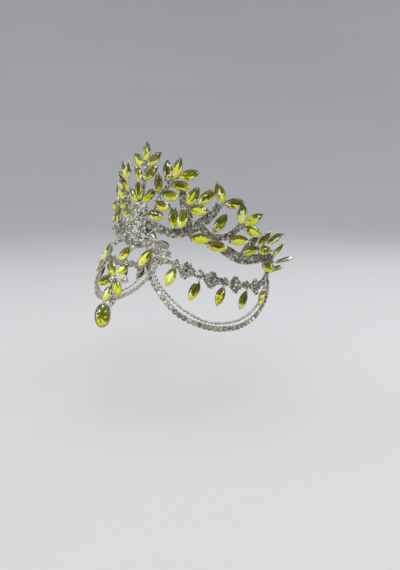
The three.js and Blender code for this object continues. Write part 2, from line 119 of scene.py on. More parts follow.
# ---------------------------------------------------------------- tables
# stem: around and up. leaves: around, up, lean and lift.
# around: degrees from the front, up: mm along the flared wall from the base ring,
# lean: degrees of the leaf from upright, lift: degrees that the leaf's tip stands off the wall.
# lattice: mm across a stem that carries rows of stones of the size given by stone.
SPRAYS = {
    "plume": {
        "stem": [(10, 14.5), (11.6, 24), (14.6, 34), (18, 43), (20, 49)],
        "lattice": 4.4,
        "stone": 2.3,
        "leaves": [
            (14, 16, 90, 0), (18, 25, 90, 5), (21, 35, 90, 5), (26, 45, 90, 5),
            (29, 55.5, 64, 10), (22, 58.5, 11, 10), (16.5, 55.5, -12, 5), (14.1, 43.6, 18, 35),
        ],
    },
    "star": {
        "stem": [(31.5, 10), (31.5, 19), (31.5, 28)],
        "lattice": 3.8,
        "stone": 2.0,
        "leaves": [
            (26.3, 17, 164, 5), (32, 19, 174, 15), (34, 39, 19, 10),
            (41, 41.5, 31, 10), (39.5, 29.5, 78, 20),
        ],
    },
    "fork": {
        "stem": [(48.5, 33), (51, 40)],
        "leaves": [(47.3, 48.5, -41, 10), (56.5, 45.5, 63, 0)],
    },
    "trefoil": {
        "stem": [(63, 22), (65, 27), (67, 31)],
        "lattice": 4.4,
        "stone": 2.3,
        "leaves": [(63, 39.5, -21, 5), (70.3, 40, 31, 10), (73.5, 31.2, 88, 10)],
    },
    "trail": {
        "stem": [(38, 6), (43, 6), (50, 5), (56, 5.5)],
        "leaves": [(45.5, 7, 73, 15), (56.5, 6, 79, 10)],
    },
    "vine": {
        "stem": [(51.5, 16), (54, 13.5), (58, 13.5), (62, 15.5)],
        "leaves": [(53, 25.5, 12, 15), (67.5, 18.5, 68, 10)],
    },
    "fan": {
        "stem": [(75, 9), (79, 14), (83, 19), (88, 28)],
        "lattice": 4.4,
        "stone": 2.3,
        "leaves": [(79, 15, 53, 0), (90.4, 22.6, 70, 0), (82.2, 29.8, -14, 25), (92.6, 37.2, 38, 5)],
    },
    "tail": {
        "stem": [(96, 12), (102, 16.5), (108, 19.5), (114, 23)],
        "leaves": [(100, 31.3, -33, 20), (113, 29, -41, 45), (101.7, 12, 80, 20), (107, 15.5, -50, 45)],
    },
}
CENTRE_TREE = {
    "stem": [(0, 27), (0, 36), (0, 50), (0, 63)],
    "lattice": 4.4,
    "stone": 3.3,
    "leaves": [
        (0, 71, 0, 5), (6.4, 64.5, 50, 3), (-6.4, 64.5, -50, 3), (5.2, 52.2, 49, 0),
        (-5.2, 52.2, -49, 0), (0, 35.6, 0, 20), (6.8, 32, 50, 3), (-6.8, 32, -50, 3),
    ],
}
# Leaves with a small ring at the tip, by their place in the table.
EYELETS = {"plume": (5,), "fork": (0,), "trefoil": (0, 1), "fan": (1, 3), "tail": (1,)}

# around, up and width, and mm proud of the wall for the front plate.
PLATES = {
    "front_plate": [
        (0, 25.3, 14, 2.4), (0, 21, 20, 2.4), (0, 14, 20, 2.4), (0, 6, 18.5, 2.5),
        (0, 0, 17, 3), (0, -4.5, 15.5, 3.5), (0, -8.5, 12, 4), (0, -12.2, 6, 4.4),
    ],
    "arch_front": [
        (4, 9, 8), (8, 7.5, 9), (15, 5.5, 9), (22, 4, 8.5), (29, 4.5, 9),
        (34.5, 8, 9), (39.5, 14, 9.5), (44, 22, 9), (47.5, 30.5, 8), (49, 40, 6.5),
    ],
    "stone_sprig": [(27, 44, 4), (27.5, 38, 6), (29.5, 30, 6.5), (34, 23, 6.5), (37, 14, 6.5)],
    "scroll": [
        (43, 17, 6), (47, 14, 6), (52, 12, 6), (57, 14, 6), (61, 18, 6), (64, 24, 6), (65.5, 30, 4),
    ],
    "arch_rear": [
        (44, 6, 5), (52, 7, 6), (60, 6, 7.5), (67, 5, 9.5), (74, 4.5, 9.5),
        (81, 6.5, 9.5), (88, 11, 9), (94, 16, 9), (101, 20, 9), (108, 21.5, 8), (114, 21, 5),
    ],
    "rear_rise": [(77, 8, 6), (78, 16, 8), (79.5, 24, 8), (81, 30, 4)],
}

# On the head's surface: around and up in degrees about the head's centre, and width in mm.
BAND_ROWS = [
    (10.5, 22.5, 6), (11.8, 17, 11.5), (14.8, 15.6, 6.5), (18.5, 14.6, 8.6), (22, 12.7, 6.8),
    (27, 11.1, 15.6), (31, 10.2, 7), (34, 10.1, 8.4), (37, 9.2, 7),
    (41, 8.4, 16), (45, 8.6, 7.6), (48, 8.9, 8.8), (51.5, 8.5, 7.6),
    (55.7, 8.2, 16.4), (59.7, 9, 7), (63, 9.8, 8.6), (66.3, 9.9, 7),
    (70, 10.4, 16), (74.3, 11.6, 7), (77.8, 12.7, 8.6), (81.3, 13.1, 7),
    (85, 14, 15), (89.3, 16.6, 7), (94.3, 20.5, 8.6), (97.5, 25, 6.5),
]
BAND = {
    "proud": 1.0, "stone": 2.0, "pitch": 1.92, "middle": 3.0, "stone_proud": 0.5,
    "closest": 0.84, "middle_closest": 0.8, "fill_reach": 3.4, "fill_inset": 0.7,
}
BAND_FILL = [(2.0, 1.1), (1.5, 0.7)]  # size and step of the stones that fill what is left bare
BAND_PLATE = {"narrower": 2.6, "narrowest": 3.6, "proud": 0.1, "thickness": 1.0, "columns": 6}
# The outline of each kind of cluster, as round lobes: mm along, mm up and radius.
MOTIFS = {
    "large": [(0, 0, 4.6), (0, 4.7, 3.7), (0, -4.8, 3.5), (4.2, 0.5, 3.6), (-4.2, 0.5, 3.6)],
    "flower": [(0, 0, 6.0)],
    "small": [(0, 0, 3.9), (0, 1.6, 3.1), (0, -1.4, 3.0)],
    "link": [(0, 0, 3.5)],
}
MOTIF_FROM = (("large", 13), ("flower", 10), ("small", 8), ("link", 0))  # narrowest width of each
MOTIF_REACH = {"rows": 6, "inside": 0.4}  # rows tried each way, and share of a stone kept inside a lobe
# around and up of the drop's upper end and of its tip, and mm proud of the head.
BAND_DROPS = [
    (19.2, 12.8, 16.2, 4.2, 4.6), (35.1, 8.5, 33.8, -0.3, 3.5), (49, 5.9, 47.5, -2.6, 3.5),
    (62.5, 7.6, 61.7, -1.1, 3.5), (77.1, 9.9, 75.6, 1.6, 3.5), (91.1, 15.1, 89.6, 6.9, 4.1),
]
CUP_ROUTE = [
    (18.6, 13.6), (19.6, 6.5), (24, 0.5), (33.6, -6), (44, -10.9), (55.2, -12.4), (67.3, -11.5),
    (80.5, -7), (91.1, 1.2), (98, 12.8), (98.6, 24),
]
BALL_ROUTE = [
    (22, 12.4), (23.4, 5.5), (27.3, 0.8), (33.4, -3.2), (43.7, -7.6), (53.3, -9.7), (61.5, -9.9),
    (69.3, -8.3), (77.4, -5), (85, 0.4), (90, 6.6), (93.4, 13), (94.4, 20.6),
]

# Forward and height, in mm, of the line that the forehead drop hangs along.
FOREHEAD_LINE = [
    (74, 24), (78.5, 18.5), (84.5, 13), (91, 6), (97, -2),
    (102.5, -12), (107, -22), (111, -33), (113.5, -44),
]
# mm along that line, aside and proud of it, degrees turned and rolled, and size.
FOREHEAD_COLUMNS = ("along", "aside", "proud", "turn", "roll", "length", "width")
FOREHEAD_PIECES = {
    name: dict(zip(FOREHEAD_COLUMNS, row))
    for name, row in {
        "drop_link_top": (2.4, 0, 0.4, 0, 0, 5.2, 4.6),
        "drop_leaf": (12, -3, 2.2, 8, 24, 18.4, 9.2),
        "drop_link_middle": (21.2, 3, -2, -20, 0, 5.4, 4.8),
        "drop_flower": (37, 0, 1.2, 0, 20, 10.8, 10.8),
        "drop_link_lower": (56, 4.4, -2, -12, 0, 10, 7.4),
        "drop_oval": (70.5, -0.5, 1, 4, 20, OVAL["length"], OVAL["width"]),
    }.items()
}
# The piece that each of these hangs from by jump rings, and mm that the rings' ends lie behind the two.
FOREHEAD_HUNG_FROM = {
    "drop_link_middle": ("drop_leaf", 0.3, 0.3),
    "drop_flower": ("drop_link_middle", 0.3, 2.4),
    "drop_link_lower": ("drop_flower", 2.4, 0.3),
}
JUMP_RING_PITCH = 1.9
# Along, aside and size of the stones on the lower link. The other links have one stone each, and its
# size is a share of the link's width.
LOWER_LINK_STONES = [(-3.1, 0, 2.8), (0, 1.3, 2.3), (0, -1.3, 2.3), (3.1, 0, 2.8)]
LINK_STONE = {"share": 0.8, "proud": 0.2}
FLOWER_MIDDLE = {"size": 3.4, "proud": 2.3}
# Rings of stones round that middle stone: how many, mm out, mm proud and size.
FLOWER_RINGS = [(6, 2.7, 1.9, 1.9), (7, 3.6, 0.3, 2.8)]
PETAL_WIRE = {"radius": 0.8, "reach": 0.4, "behind": 0.6}
# aside and down of each petal's middle, the way it points, and whether its stone is clear.
PETALS = [
    (-6.4, -9, -146, False), (4.6, -9.6, 144, False), (-7.7, 3.6, -49, False),
    (7.2, -2.4, 80, True), (6.6, 6.8, 39, False), (-0.3, 14.2, -3, False),
]


# ---------------------------------------------------------------- surfaces
def wall_spot(around, up):
    """A point of the crown's flared wall, with the ways around, up and out of it."""
    angle = math.radians(around)
    flare = math.radians(RING["flare"])
    foot = Vector((RING["half_width"] * math.sin(angle), -RING["half_length"] * math.cos(angle), 0))
    level = Vector((foot.x / RING["half_width"] ** 2, foot.y / RING["half_length"] ** 2, 0)).normalized()
    rise = level * math.sin(flare) + UP * math.cos(flare)
    out = level * math.cos(flare) - UP * math.sin(flare)
    along = Vector((-level.y, level.x, 0))
    tilt = Matrix.Rotation(math.radians(-RING["tilt"]), 3, "X")
    return tilt @ (foot + rise * up), tilt @ along, tilt @ rise, tilt @ out


def head_point(around, up):
    """A point of the head before it is tilted and put in its place."""
    around, up = math.radians(around), math.radians(up)
    return Vector((
        HEAD["half_width"] * math.cos(up) * math.sin(around),
        -HEAD["half_length"] * math.cos(up) * math.cos(around),
        HEAD["half_height"] * math.sin(up),
    ))


def head_spot(around, up):
    """A point of the head that the crown is worn on, with the ways around, up and out of it."""
    step = 0.01
    origin = head_point(around, up)
    along = (head_point(around + step, up) - origin).normalized()
    rise = (head_point(around, up + step) - origin).normalized()
    out = along.cross(rise).normalized()
    tilt = Matrix.Rotation(math.radians(HEAD["tilt"]), 3, "X")
    return tilt @ origin + Vector((0, HEAD["back"], HEAD["up"])), tilt @ along, tilt @ rise, tilt @ out


def forehead_spot(forward, height):
    """A point in the plane of symmetry, in front of the forehead."""
    return Vector((0, -forward, height)), X_AXIS, UP, Vector((0, -1, 0))


ROW_SLOPE = 0.4  # slope at a row, as a share of the difference between the rows on both sides of it
STEPS_PER_ROW = 24
Station = namedtuple("Station", "point along across out width")


def smooth_row(rows, t):
    """The table's columns blended along its rows, with t from 0 to 1."""
    last = len(rows) - 1
    place = min(max(t, 0.0), 1.0) * last
    i = min(int(place), last - 1)
    u = place - i
    before = rows[i - 1] if i > 0 else [2 * a - b for a, b in zip(rows[0], rows[1])]
    after = rows[i + 2] if i + 2 <= last else [2 * a - b for a, b in zip(rows[last], rows[last - 1])]
    blended = []
    for a, b, c, d in zip(before, rows[i], rows[i + 1], after):
        leave, arrive = ROW_SLOPE * (c - a), ROW_SLOPE * (d - b)
        blended.append(
            (2 * u**3 - 3 * u**2 + 1) * b + (u**3 - 2 * u**2 + u) * leave
            + (3 * u**2 - 2 * u**3) * c + (u**3 - u**2) * arrive
        )
    return blended


class Strip:
    """A strip that follows a surface, walked by the mm of its middle line.

    Each of its rows gives a spot of the surface, and may go on with the width and the mm proud there.
    """

    def __init__(self, spot, rows, side=1, proud=0.0):
        self.spot = spot
        self.side = side
        self.rows = [(side * row[0], *row[1:]) for row in rows]
        self.proud = proud
        steps = STEPS_PER_ROW * (len(rows) - 1)
        self.marks = [i / steps for i in range(steps + 1)]
        points = [self.middle(t)[0] for t in self.marks]
        self.walked = [0.0]
        for a, b in zip(points, points[1:]):
            self.walked.append(self.walked[-1] + (b - a).length)
        self.total = self.walked[-1]

    def middle(self, t):
        """The middle line's point, the way out of the surface, and the width, with t from 0 to 1."""
        row = smooth_row(self.rows, t)
        origin, _, _, out = self.spot(row[0], row[1])
        proud = row[3] if len(row) > 3 else self.proud
        return origin + out * proud, out, row[2] if len(row) > 2 else 0.0

    def mark_at(self, mm):
        """The t of a point that is some mm along."""
        for i, walked in enumerate(self.walked[1:], 1):
            if walked >= mm:
                share = (mm - self.walked[i - 1]) / max(walked - self.walked[i - 1], 1e-9)
                return self.marks[i - 1] + share * (self.marks[i] - self.marks[i - 1])
        return 1.0

    def at(self, mm):
        """The middle point, the ways along, across and out, and the width there."""
        t = self.mark_at(mm)
        point, out, width = self.middle(t)
        step = 1e-3
        along = (self.middle(min(1, t + step))[0] - self.middle(max(0, t - step))[0]).normalized()
        across = out.cross(along).normalized() * self.side
        return Station(point, along, across, out, width)

    def at_row(self, i):
        """The station at one row of the table."""
        return self.at(self.walked[STEPS_PER_ROW * i])

    def stations(self, count):
        """Stations from end to end, with count equal stretches between them."""
        return [self.at(self.total * i / count) for i in range(count + 1)]

    def middles(self, count):
        """The middles of those stretches."""
        return [self.at(self.total * (i + 0.5) / count) for i in range(count)]


def facing(origin, direction, face):
    """A place whose +X is a direction and whose +Z is out of a face."""
    x = direction.normalized()
    y = face.cross(x).normalized()
    z = x.cross(y)
    return Matrix.Translation(origin) @ Matrix((x, y, z)).transposed().to_4x4()


def shift(x, y, z):
    """A place moved from the origin."""
    return Matrix.Translation((x, y, z))


def spun(angle):
    """A place turned about its own +Z."""
    return Matrix.Rotation(angle, 4, "Z")


# ---------------------------------------------------------------- making and adding shapes
def keep_shape(name, bm):
    """A closed shape as a mesh, with its faces pointing out and a tone for each.

    Its faces are put in an order that never changes, so that the tones always fall the same way.
    """
    bmesh.ops.recalc_face_normals(bm, faces=bm.faces)
    bm.verts.index_update()
    in_order = sorted(bm.faces, key=lambda face: sorted(v.index for v in face.verts))
    for i, face in enumerate(in_order):
        face.index = i
    bm.faces.sort()
    mesh = bpy.data.meshes.new(name)
    bm.to_mesh(mesh)
    bm.free()
    mesh.attributes.new("facet", "FLOAT_VECTOR", "FACE")
    return mesh


def new_piece():
    """An empty piece whose faces carry a tone."""
    bm = bmesh.new()
    bm.faces.layers.float_vector.new("facet")
    return bm


def shaded(shape, tone):
    """Gives every face of a shape the same tone: on silver, 0 is bright and 1 is the full painted shade
    of the gaps between stones.
    """
    shape.attributes["facet"].data.foreach_set("vector", [tone, 0.0, 0.0] * len(shape.polygons))
    return shape


def stamp(bm, shape, place, tone=None):
    """Adds a copy of a shape at a place. tone gives each facet's tone from its middle."""
    copy = shape.copy()
    if tone:
        values = []
        for face in copy.polygons:
            values.extend(tone(face.center))
        copy.attributes["facet"].data.foreach_set("vector", values)
    copy.transform(place)
    bm.from_mesh(copy)
    bpy.data.meshes.remove(copy)


def add_once(bm, name, made, tone):
    """Adds a shape that is already in its place, with one tone."""
    shape = shaded(keep_shape(name, made), tone)
    bm.from_mesh(shape)
    bpy.data.meshes.remove(shape)


def add_wire(bm, points, radius, tone=0.0):
    """A round wire through points, with closed ends."""
    curve = bpy.data.curves.new("wire", "CURVE")
    curve.dimensions = "3D"
    curve.bevel_depth = radius
    curve.bevel_resolution = 2
    curve.use_fill_caps = True
    curve.resolution_u = 3
    spline = curve.splines.new("BEZIER")
    spline.bezier_points.add(len(points) - 1)
    for knot, point in zip(spline.bezier_points, points):
        knot.co = point
        knot.handle_left_type = "AUTO"
        knot.handle_right_type = "AUTO"
    holder = bpy.data.objects.new("wire", curve)
    wire = bmesh.new()
    wire.from_mesh(holder.to_mesh())
    holder.to_mesh_clear()
    bpy.data.objects.remove(holder)
    bpy.data.curves.remove(curve)
    bmesh.ops.remove_doubles(wire, verts=wire.verts, dist=1e-3)
    for face in wire.faces:
        face.smooth = len(face.verts) == 4
    add_once(bm, "wire", wire, tone)


def add_plate(bm, strip, columns, height, thickness, inset=0.0):
    """A thin plate under the stones, painted in the full shade of the gaps. height(y, t) is the mm from
    the strip to its upper face.
    """
    plate = bmesh.new()
    bmesh.ops.create_grid(plate, x_segments=columns, y_segments=PLATE["across"], size=0.5)
    ways = {}
    for v in plate.verts:
        t = min(max(v.co.x + 0.5, 0), 1)
        y = v.co.y
        here = strip.at(t * strip.total)
        v.co = here.point + here.across * (y * (here.width - inset)) + here.out * height(y, t)
        ways[v] = here.out
    plate.normal_update()
    if sum(v.normal.dot(out) for v, out in ways.items()) < 0:
        bmesh.ops.reverse_faces(plate, faces=plate.faces)
    bmesh.ops.solidify(plate, geom=plate.faces[:], thickness=thickness)
    for face in plate.faces:
        face.smooth = True
    # Tone 1: the plate shows in the gaps between stones, so it carries the full painted shade.
    add_once(bm, "plate", plate, 1.0)


# ---------------------------------------------------------------- cuts, cups and fittings
# A round stone and its cup are one mm across, and a claw is about one mm tall. All are scaled when used.
ROUND_STONE = {"sides": 8, "girdle": 0.5, "table": 0.28, "low": 0.02, "high": 0.27, "peak": 0.05}
# A round cup's tone darkens it with painted shade, as it sits in the gaps between stones.
ROUND_CUP = {"sides": 8, "foot": 0.4, "rim": 0.56, "low": -0.32, "high": 0.09, "painted_shade": 0.6}
CLAW_ARM = {"sides": 5, "foot": 0.32, "neck": 0.2, "height": 0.8, "over": 0.42, "up": 0.14}
# Cut stones and cups are built in tiers, from the lowest: shares along and across of the tier below,
# and mm of height. along and across are the shares of the whole that the first tier takes.
NAVETTE_STONE = {"sides": 10, "along": 0.955, "across": 0.93, "tiers": [(1, 1, 0.75), (0.8, 0.66, 1.75)]}
NAVETTE_RIDGE = {"along": 0.7, "height": 2.4, "across": (0.25, 0.4, 0.55)}
NAVETTE_CUP = {
    "sides": 20, "along": 0.78, "across": 0.76, "back": -1.4,
    "tiers": [
        (1.25, 1.28, 0.1), (1.02, 1.03, 0.5), (0.995, 0.99, 0.8), (0.98, 0.96, 0.7), (0.995, 0.99, 0.2),
    ],
}
OVAL_STONE = {
    "sides": 18, "along": 0.92, "across": 0.895, "girdle": 0.2,
    "tiers": [(1, 1, 0.9), (0.86, 0.84, 1.9), (0.76, 0.72, 2.6), (0.6, 0.56, 2.95), (0.45, 0.4, 3.05)],
}
OVAL_CUP = {
    "along": 0.8, "across": 0.78, "flared_at": 0.3,
    "lip": (0.94, 0.92), "inside": (0.98, 0.97), "depth": 0.6,
}
# The lowest and highest mm of each oval cup, and its sides.
LINK_CUP = (-1.0, 0.5, 14)
FLOWER_CUP = (-0.9, 0.4, 20)
LARGE_CUP = (-2.0, 1.3, 28)


def top_face(bm):
    """The highest face."""
    return max(bm.faces, key=lambda face: face.calc_center_median().z)


def pull_face(bm, face):
    """Extrudes a face, and gives the new face and its corners."""
    made = bmesh.ops.extrude_face_region(bm, geom=[face])["geom"]
    bmesh.ops.delete(bm, geom=[face], context="FACES_ONLY")
    corners = [item for item in made if isinstance(item, bmesh.types.BMVert)]
    return next(item for item in made if isinstance(item, bmesh.types.BMFace)), corners


def lift_tiers(bm, face, tiers):
    """Builds tier on tier from a flat face, each shrunk or grown about the Z axis."""
    for along, across, height in tiers:
        face, corners = pull_face(bm, face)
        for v in corners:
            v.co = Vector((v.co.x * along, v.co.y * across, height))


def split_quads(bm, method):
    """Cuts every four-sided face into two facets."""
    four_sided = [face for face in bm.faces if len(face.verts) == 4]
    bmesh.ops.triangulate(bm, faces=four_sided, quad_method=method)


def add_cone(bm, sides, foot, top, low, high):
    """A capped cone between two heights, by its radius at each."""
    bmesh.ops.create_cone(
        bm, cap_ends=True, segments=sides, radius1=foot, radius2=top, depth=high - low,
        matrix=Matrix.Translation((0, 0, (low + high) / 2)),
    )


def outline_face(bm, length, width, sides, height, pointed):
    """A flat capped outline: an oval, or a navette with pointed ends."""
    bmesh.ops.create_circle(bm, cap_ends=True, segments=sides, radius=1.0)
    bow = (length**2 + width**2) / (4 * width)
    for v in bm.verts:
        x = v.co.x * length / 2
        y = v.co.y * width / 2
        if pointed:
            reach = math.sqrt(max(bow**2 - x**2, 0)) - (bow - width / 2)
            y = math.copysign(max(reach, 0), v.co.y) if abs(v.co.y) > 1e-4 else 0.0
        v.co = Vector((x, y, height))
    return top_face(bm)


def round_cut():
    """A round stone one mm across: eight crown facets each way and a low point."""
    bm = bmesh.new()
    sides, high = ROUND_STONE["sides"], ROUND_STONE["high"]
    add_cone(bm, sides, ROUND_STONE["girdle"], ROUND_STONE["table"], ROUND_STONE["low"], high)
    table = [v for v in bm.verts if v.co.z > high / 2]
    bmesh.ops.rotate(bm, cent=(0, 0, 0), matrix=Matrix.Rotation(math.pi / sides, 3, "Z"), verts=table)
    bmesh.ops.poke(bm, faces=[top_face(bm)], offset=ROUND_STONE["peak"])
    split_quads(bm, "BEAUTY")
    return keep_shape("round_cut", bm)


def round_seat():
    """A plain cup for a round stone one mm across, darkened with painted shade."""
    bm = bmesh.new()
    add_cone(
        bm, ROUND_CUP["sides"], ROUND_CUP["foot"], ROUND_CUP["rim"], ROUND_CUP["low"], ROUND_CUP["high"],
    )
    return shaded(keep_shape("round_seat", bm), ROUND_CUP["painted_shade"])


def claw_shape():
    """A claw that leans over from its foot at the origin towards +X."""
    bm = bmesh.new()
    add_cone(bm, CLAW_ARM["sides"], CLAW_ARM["foot"], CLAW_ARM["neck"], 0, CLAW_ARM["height"])
    _, corners = pull_face(bm, top_face(bm))
    bmesh.ops.translate(bm, vec=(CLAW_ARM["over"], 0, CLAW_ARM["up"]), verts=corners)
    return keep_shape("claw", bm)


def navette_cut(ridge):
    """A pointed oval stone with a girdle, a tier of facets and a low ridge."""
    bm = bmesh.new()
    length, width = LEAF["length"] * NAVETTE_STONE["along"], LEAF["width"] * NAVETTE_STONE["across"]
    face = outline_face(bm, length, width, NAVETTE_STONE["sides"], 0.0, True)
    top = (NAVETTE_RIDGE["along"], ridge, NAVETTE_RIDGE["height"])
    lift_tiers(bm, face, [*NAVETTE_STONE["tiers"], top])
    split_quads(bm, "ALTERNATE")
    return keep_shape("navette_cut", bm)


def navette_seat():
    """The pointed oval cup round such a stone: flared wall, thin rim and a closed back."""
    bm = bmesh.new()
    length, width = LEAF["length"] * NAVETTE_CUP["along"], LEAF["width"] * NAVETTE_CUP["across"]
    face = outline_face(bm, length, width, NAVETTE_CUP["sides"], NAVETTE_CUP["back"], True)
    lift_tiers(bm, face, NAVETTE_CUP["tiers"])
    return keep_shape("navette_seat", bm)


def oval_cut():
    """The large oval stone: a girdle, three tiers of facets and a small table."""
    bm = bmesh.new()
    length, width = OVAL["length"] * OVAL_STONE["along"], OVAL["width"] * OVAL_STONE["across"]
    face = outline_face(bm, length, width, OVAL_STONE["sides"], OVAL_STONE["girdle"], False)
    lift_tiers(bm, face, OVAL_STONE["tiers"])
    split_quads(bm, "ALTERNATE")
    return keep_shape("oval_cut", bm)


def oval_seat(length, width, low, high, sides):
    """An oval cup with a rim and a closed back."""
    bm = bmesh.new()
    along, across = OVAL_CUP["along"], OVAL_CUP["across"]
    face = outline_face(bm, length * along, width * across, sides, low, False)
    lift_tiers(bm, face, [
        (1 / along, 1 / across, low * OVAL_CUP["flared_at"]),
        (1, 1, high),
        (*OVAL_CUP["lip"], high),
        (*OVAL_CUP["inside"], high - OVAL_CUP["depth"]),
    ])
    return keep_shape("oval_seat", bm)


def chain_cup():
    """A cup of the cup chain: a square box with rounded corners and a sunk top."""
    bm = bmesh.new()
    size = Matrix.Diagonal((CUP["width"], CUP["width"], CUP["height"], 1))
    bmesh.ops.create_cube(bm, size=1.0, matrix=size)
    upright = [e for e in bm.edges if abs(e.verts[0].co.z - e.verts[1].co.z) > CUP["height"] / 2]
    bmesh.ops.bevel(
        bm, geom=upright, offset=CUP["corner"], offset_type="OFFSET", segments=2, profile=0.5,
        affect="EDGES", material=-1,
    )
    bmesh.ops.inset_region(bm, faces=[top_face(bm)], thickness=CUP["rim"], depth=-CUP["hollow"])
    return keep_shape("chain_cup", bm)


def ball_shape():
    """A ball of one mm radius."""
    bm = bmesh.new()
    bmesh.ops.create_icosphere(bm, subdivisions=2, radius=1.0)
    for face in bm.faces:
        face.smooth = True
    return keep_shape("ball", bm)


def wire_ring(radius, wire):
    """A closed ring of wire, spun from its round section."""
    bm = bmesh.new()
    place = Matrix.Translation((radius, 0, 0)) @ ON_EDGE
    bmesh.ops.create_circle(bm, segments=6, radius=wire, matrix=place)
    bmesh.ops.spin(
        bm, geom=bm.verts[:] + bm.edges[:], cent=(0, 0, 0), axis=(0, 0, 1),
        angle=TAU, steps=12, use_merge=True,
    )
    for face in bm.faces:
        face.smooth = True
    return keep_shape("wire_ring", bm)


ROUND_CUT = round_cut()
ROUND_SEAT = round_seat()
CLAW = claw_shape()
NAVETTE_CUTS = [navette_cut(ridge) for ridge in NAVETTE_RIDGE["across"]]
NAVETTE_SEAT = navette_seat()
OVAL_CUT = oval_cut()
CHAIN_CUP = chain_cup()
BALL = ball_shape()
EYELET = wire_ring(radius=1.05, wire=0.42)
JUMP_RING = wire_ring(radius=1.3, wire=0.32)

# ---------------------------------------------------------------- tones of the facets
# A facet's tone is its painted light or shade, from 0 for dark to 1 for a white glint, then a number
# whose low values pick the second colour.
# A painted glint: a facet painted white.
FLASH = (1.0, 0.5, 0.0)
# Clear stones, painted reflections: the share of them up to each row, and the darkest and lightest tone
# in it.
CLEAR_TONES = [(0.3, 0.02, 0.25), (0.76, 0.3, 0.6), (1.0, 0.68, 0.95)]
# flashes are painted glints, and with_glow adds more of them where a group is painted lighter.
CLEAR_FACETS = {"flashes": 0.06, "with_glow": 0.2, "spread": 0.2}
# The clear petal's facets: painted reflections from grey to a white glint.
PETAL_TONES = (0.4, 1.0)
# Coloured stones, with painted light bright towards the ground and dark above: the ranges of their three
# tones, from the ground up, and of the height, from -1 to 1, where the first ends. belt is how high the
# second one is.
COLOURED_TONES = {
    "bright": (0.7, 0.88), "middle": (0.36, 0.5), "dark": (0.14, 0.28),
    "turn": (-0.42, 0.08), "belt": 0.22,
}
# How many facets flash as painted glints, how many more near the ends, and how far facets stray in tone
# and in height.
COLOURED_FACETS = {"flashes": 0.06, "at_ends": 0.14, "ends_from": 0.7, "spread": 0.08, "stray": 0.22}


def clear_tone(glow):
    """Painted reflections: a clear stone is painted dark, grey or bright as a whole, lighter by glow, and
    its facets differ and some flash as painted glints.
    """
    roll = chance.random()
    darkest, lightest = next(row[1:] for row in CLEAR_TONES if roll < row[0])
    depth = chance.uniform(darkest, lightest)
    spread = CLEAR_FACETS["spread"]

    def tone(centre):
        if chance.random() < CLEAR_FACETS["flashes"] + CLEAR_FACETS["with_glow"] * glow:
            return FLASH
        return depth + glow + chance.uniform(-spread, spread), chance.random(), 0.0

    return tone


def clear_petal_tone(centre):
    """A facet of the clear petal with a painted reflection, wherever its middle is."""
    return chance.uniform(*PETAL_TONES), chance.random(), 0.0


def coloured_tone(place, length, width, turn=None):
    """Facets of a coloured stone, with painted light: bright towards the ground and dark above as light
    falls from above, and a few painted glints.
    """
    up = place.to_3x3().inverted() @ UP
    reach = math.hypot(up.x * length / 2, up.y * width / 2) or 1.0
    if turn is None:
        turn = chance.uniform(*COLOURED_TONES["turn"])
    bright, middle, dark = (chance.uniform(*COLOURED_TONES[key]) for key in ("bright", "middle", "dark"))
    spread = COLOURED_FACETS["spread"]

    def tone(centre):
        height = (centre.x * up.x + centre.y * up.y) / reach + chance.gauss(0, COLOURED_FACETS["stray"])
        at_end = abs(centre.x) / (length / 2) > COLOURED_FACETS["ends_from"]
        if chance.random() < COLOURED_FACETS["flashes"] + COLOURED_FACETS["at_ends"] * at_end:
            return FLASH
        belt = turn + COLOURED_TONES["belt"]
        depth = bright if height < turn else middle if height < belt else dark
        return depth + chance.uniform(-spread, spread), chance.random(), 0.0

    return tone


# ---------------------------------------------------------------- where stones already sit
taken = {}
CELL = 4.0


def claim(point, radius, closest=CLOSEST):
    """Keeps a place for a stone, unless another stone is already too close."""
    key = tuple(int(math.floor(c / CELL)) for c in point)
    near = (
        other
        for dx in (-1, 0, 1) for dy in (-1, 0, 1) for dz in (-1, 0, 1)
        for other in taken.get((key[0] + dx, key[1] + dy, key[2] + dz), ())
    )
    for spot, other_radius in near:
        if (spot - point).length < closest * (radius + other_radius):
            return False
    taken.setdefault(key, []).append((point.copy(), radius))
    return True


# ---------------------------------------------------------------- setting the stones
SEAT_WOBBLE = math.radians(14)
# Claws round a round stone, as shares of its size.
STONE_CLAW = {"count": 4, "out": 0.56, "below": 0.1, "size": 0.36}
# Claws of a leaf: along and aside as shares of its half sizes, and the claw's size.
LEAF_CLAWS = [
    (0.985, 0, 1.45), (-0.985, 0, 1.45),
    (0.46, 0.8, 0.85), (0.46, -0.8, 0.85), (-0.46, 0.8, 0.85), (-0.46, -0.8, 0.85),
]
LEAF_CLAW = {"up": 0.5, "taller": 1.15, "along": 0.15, "across": 1.6}
LEAF_EYELET = {"out": 0.3, "up": 1.0}


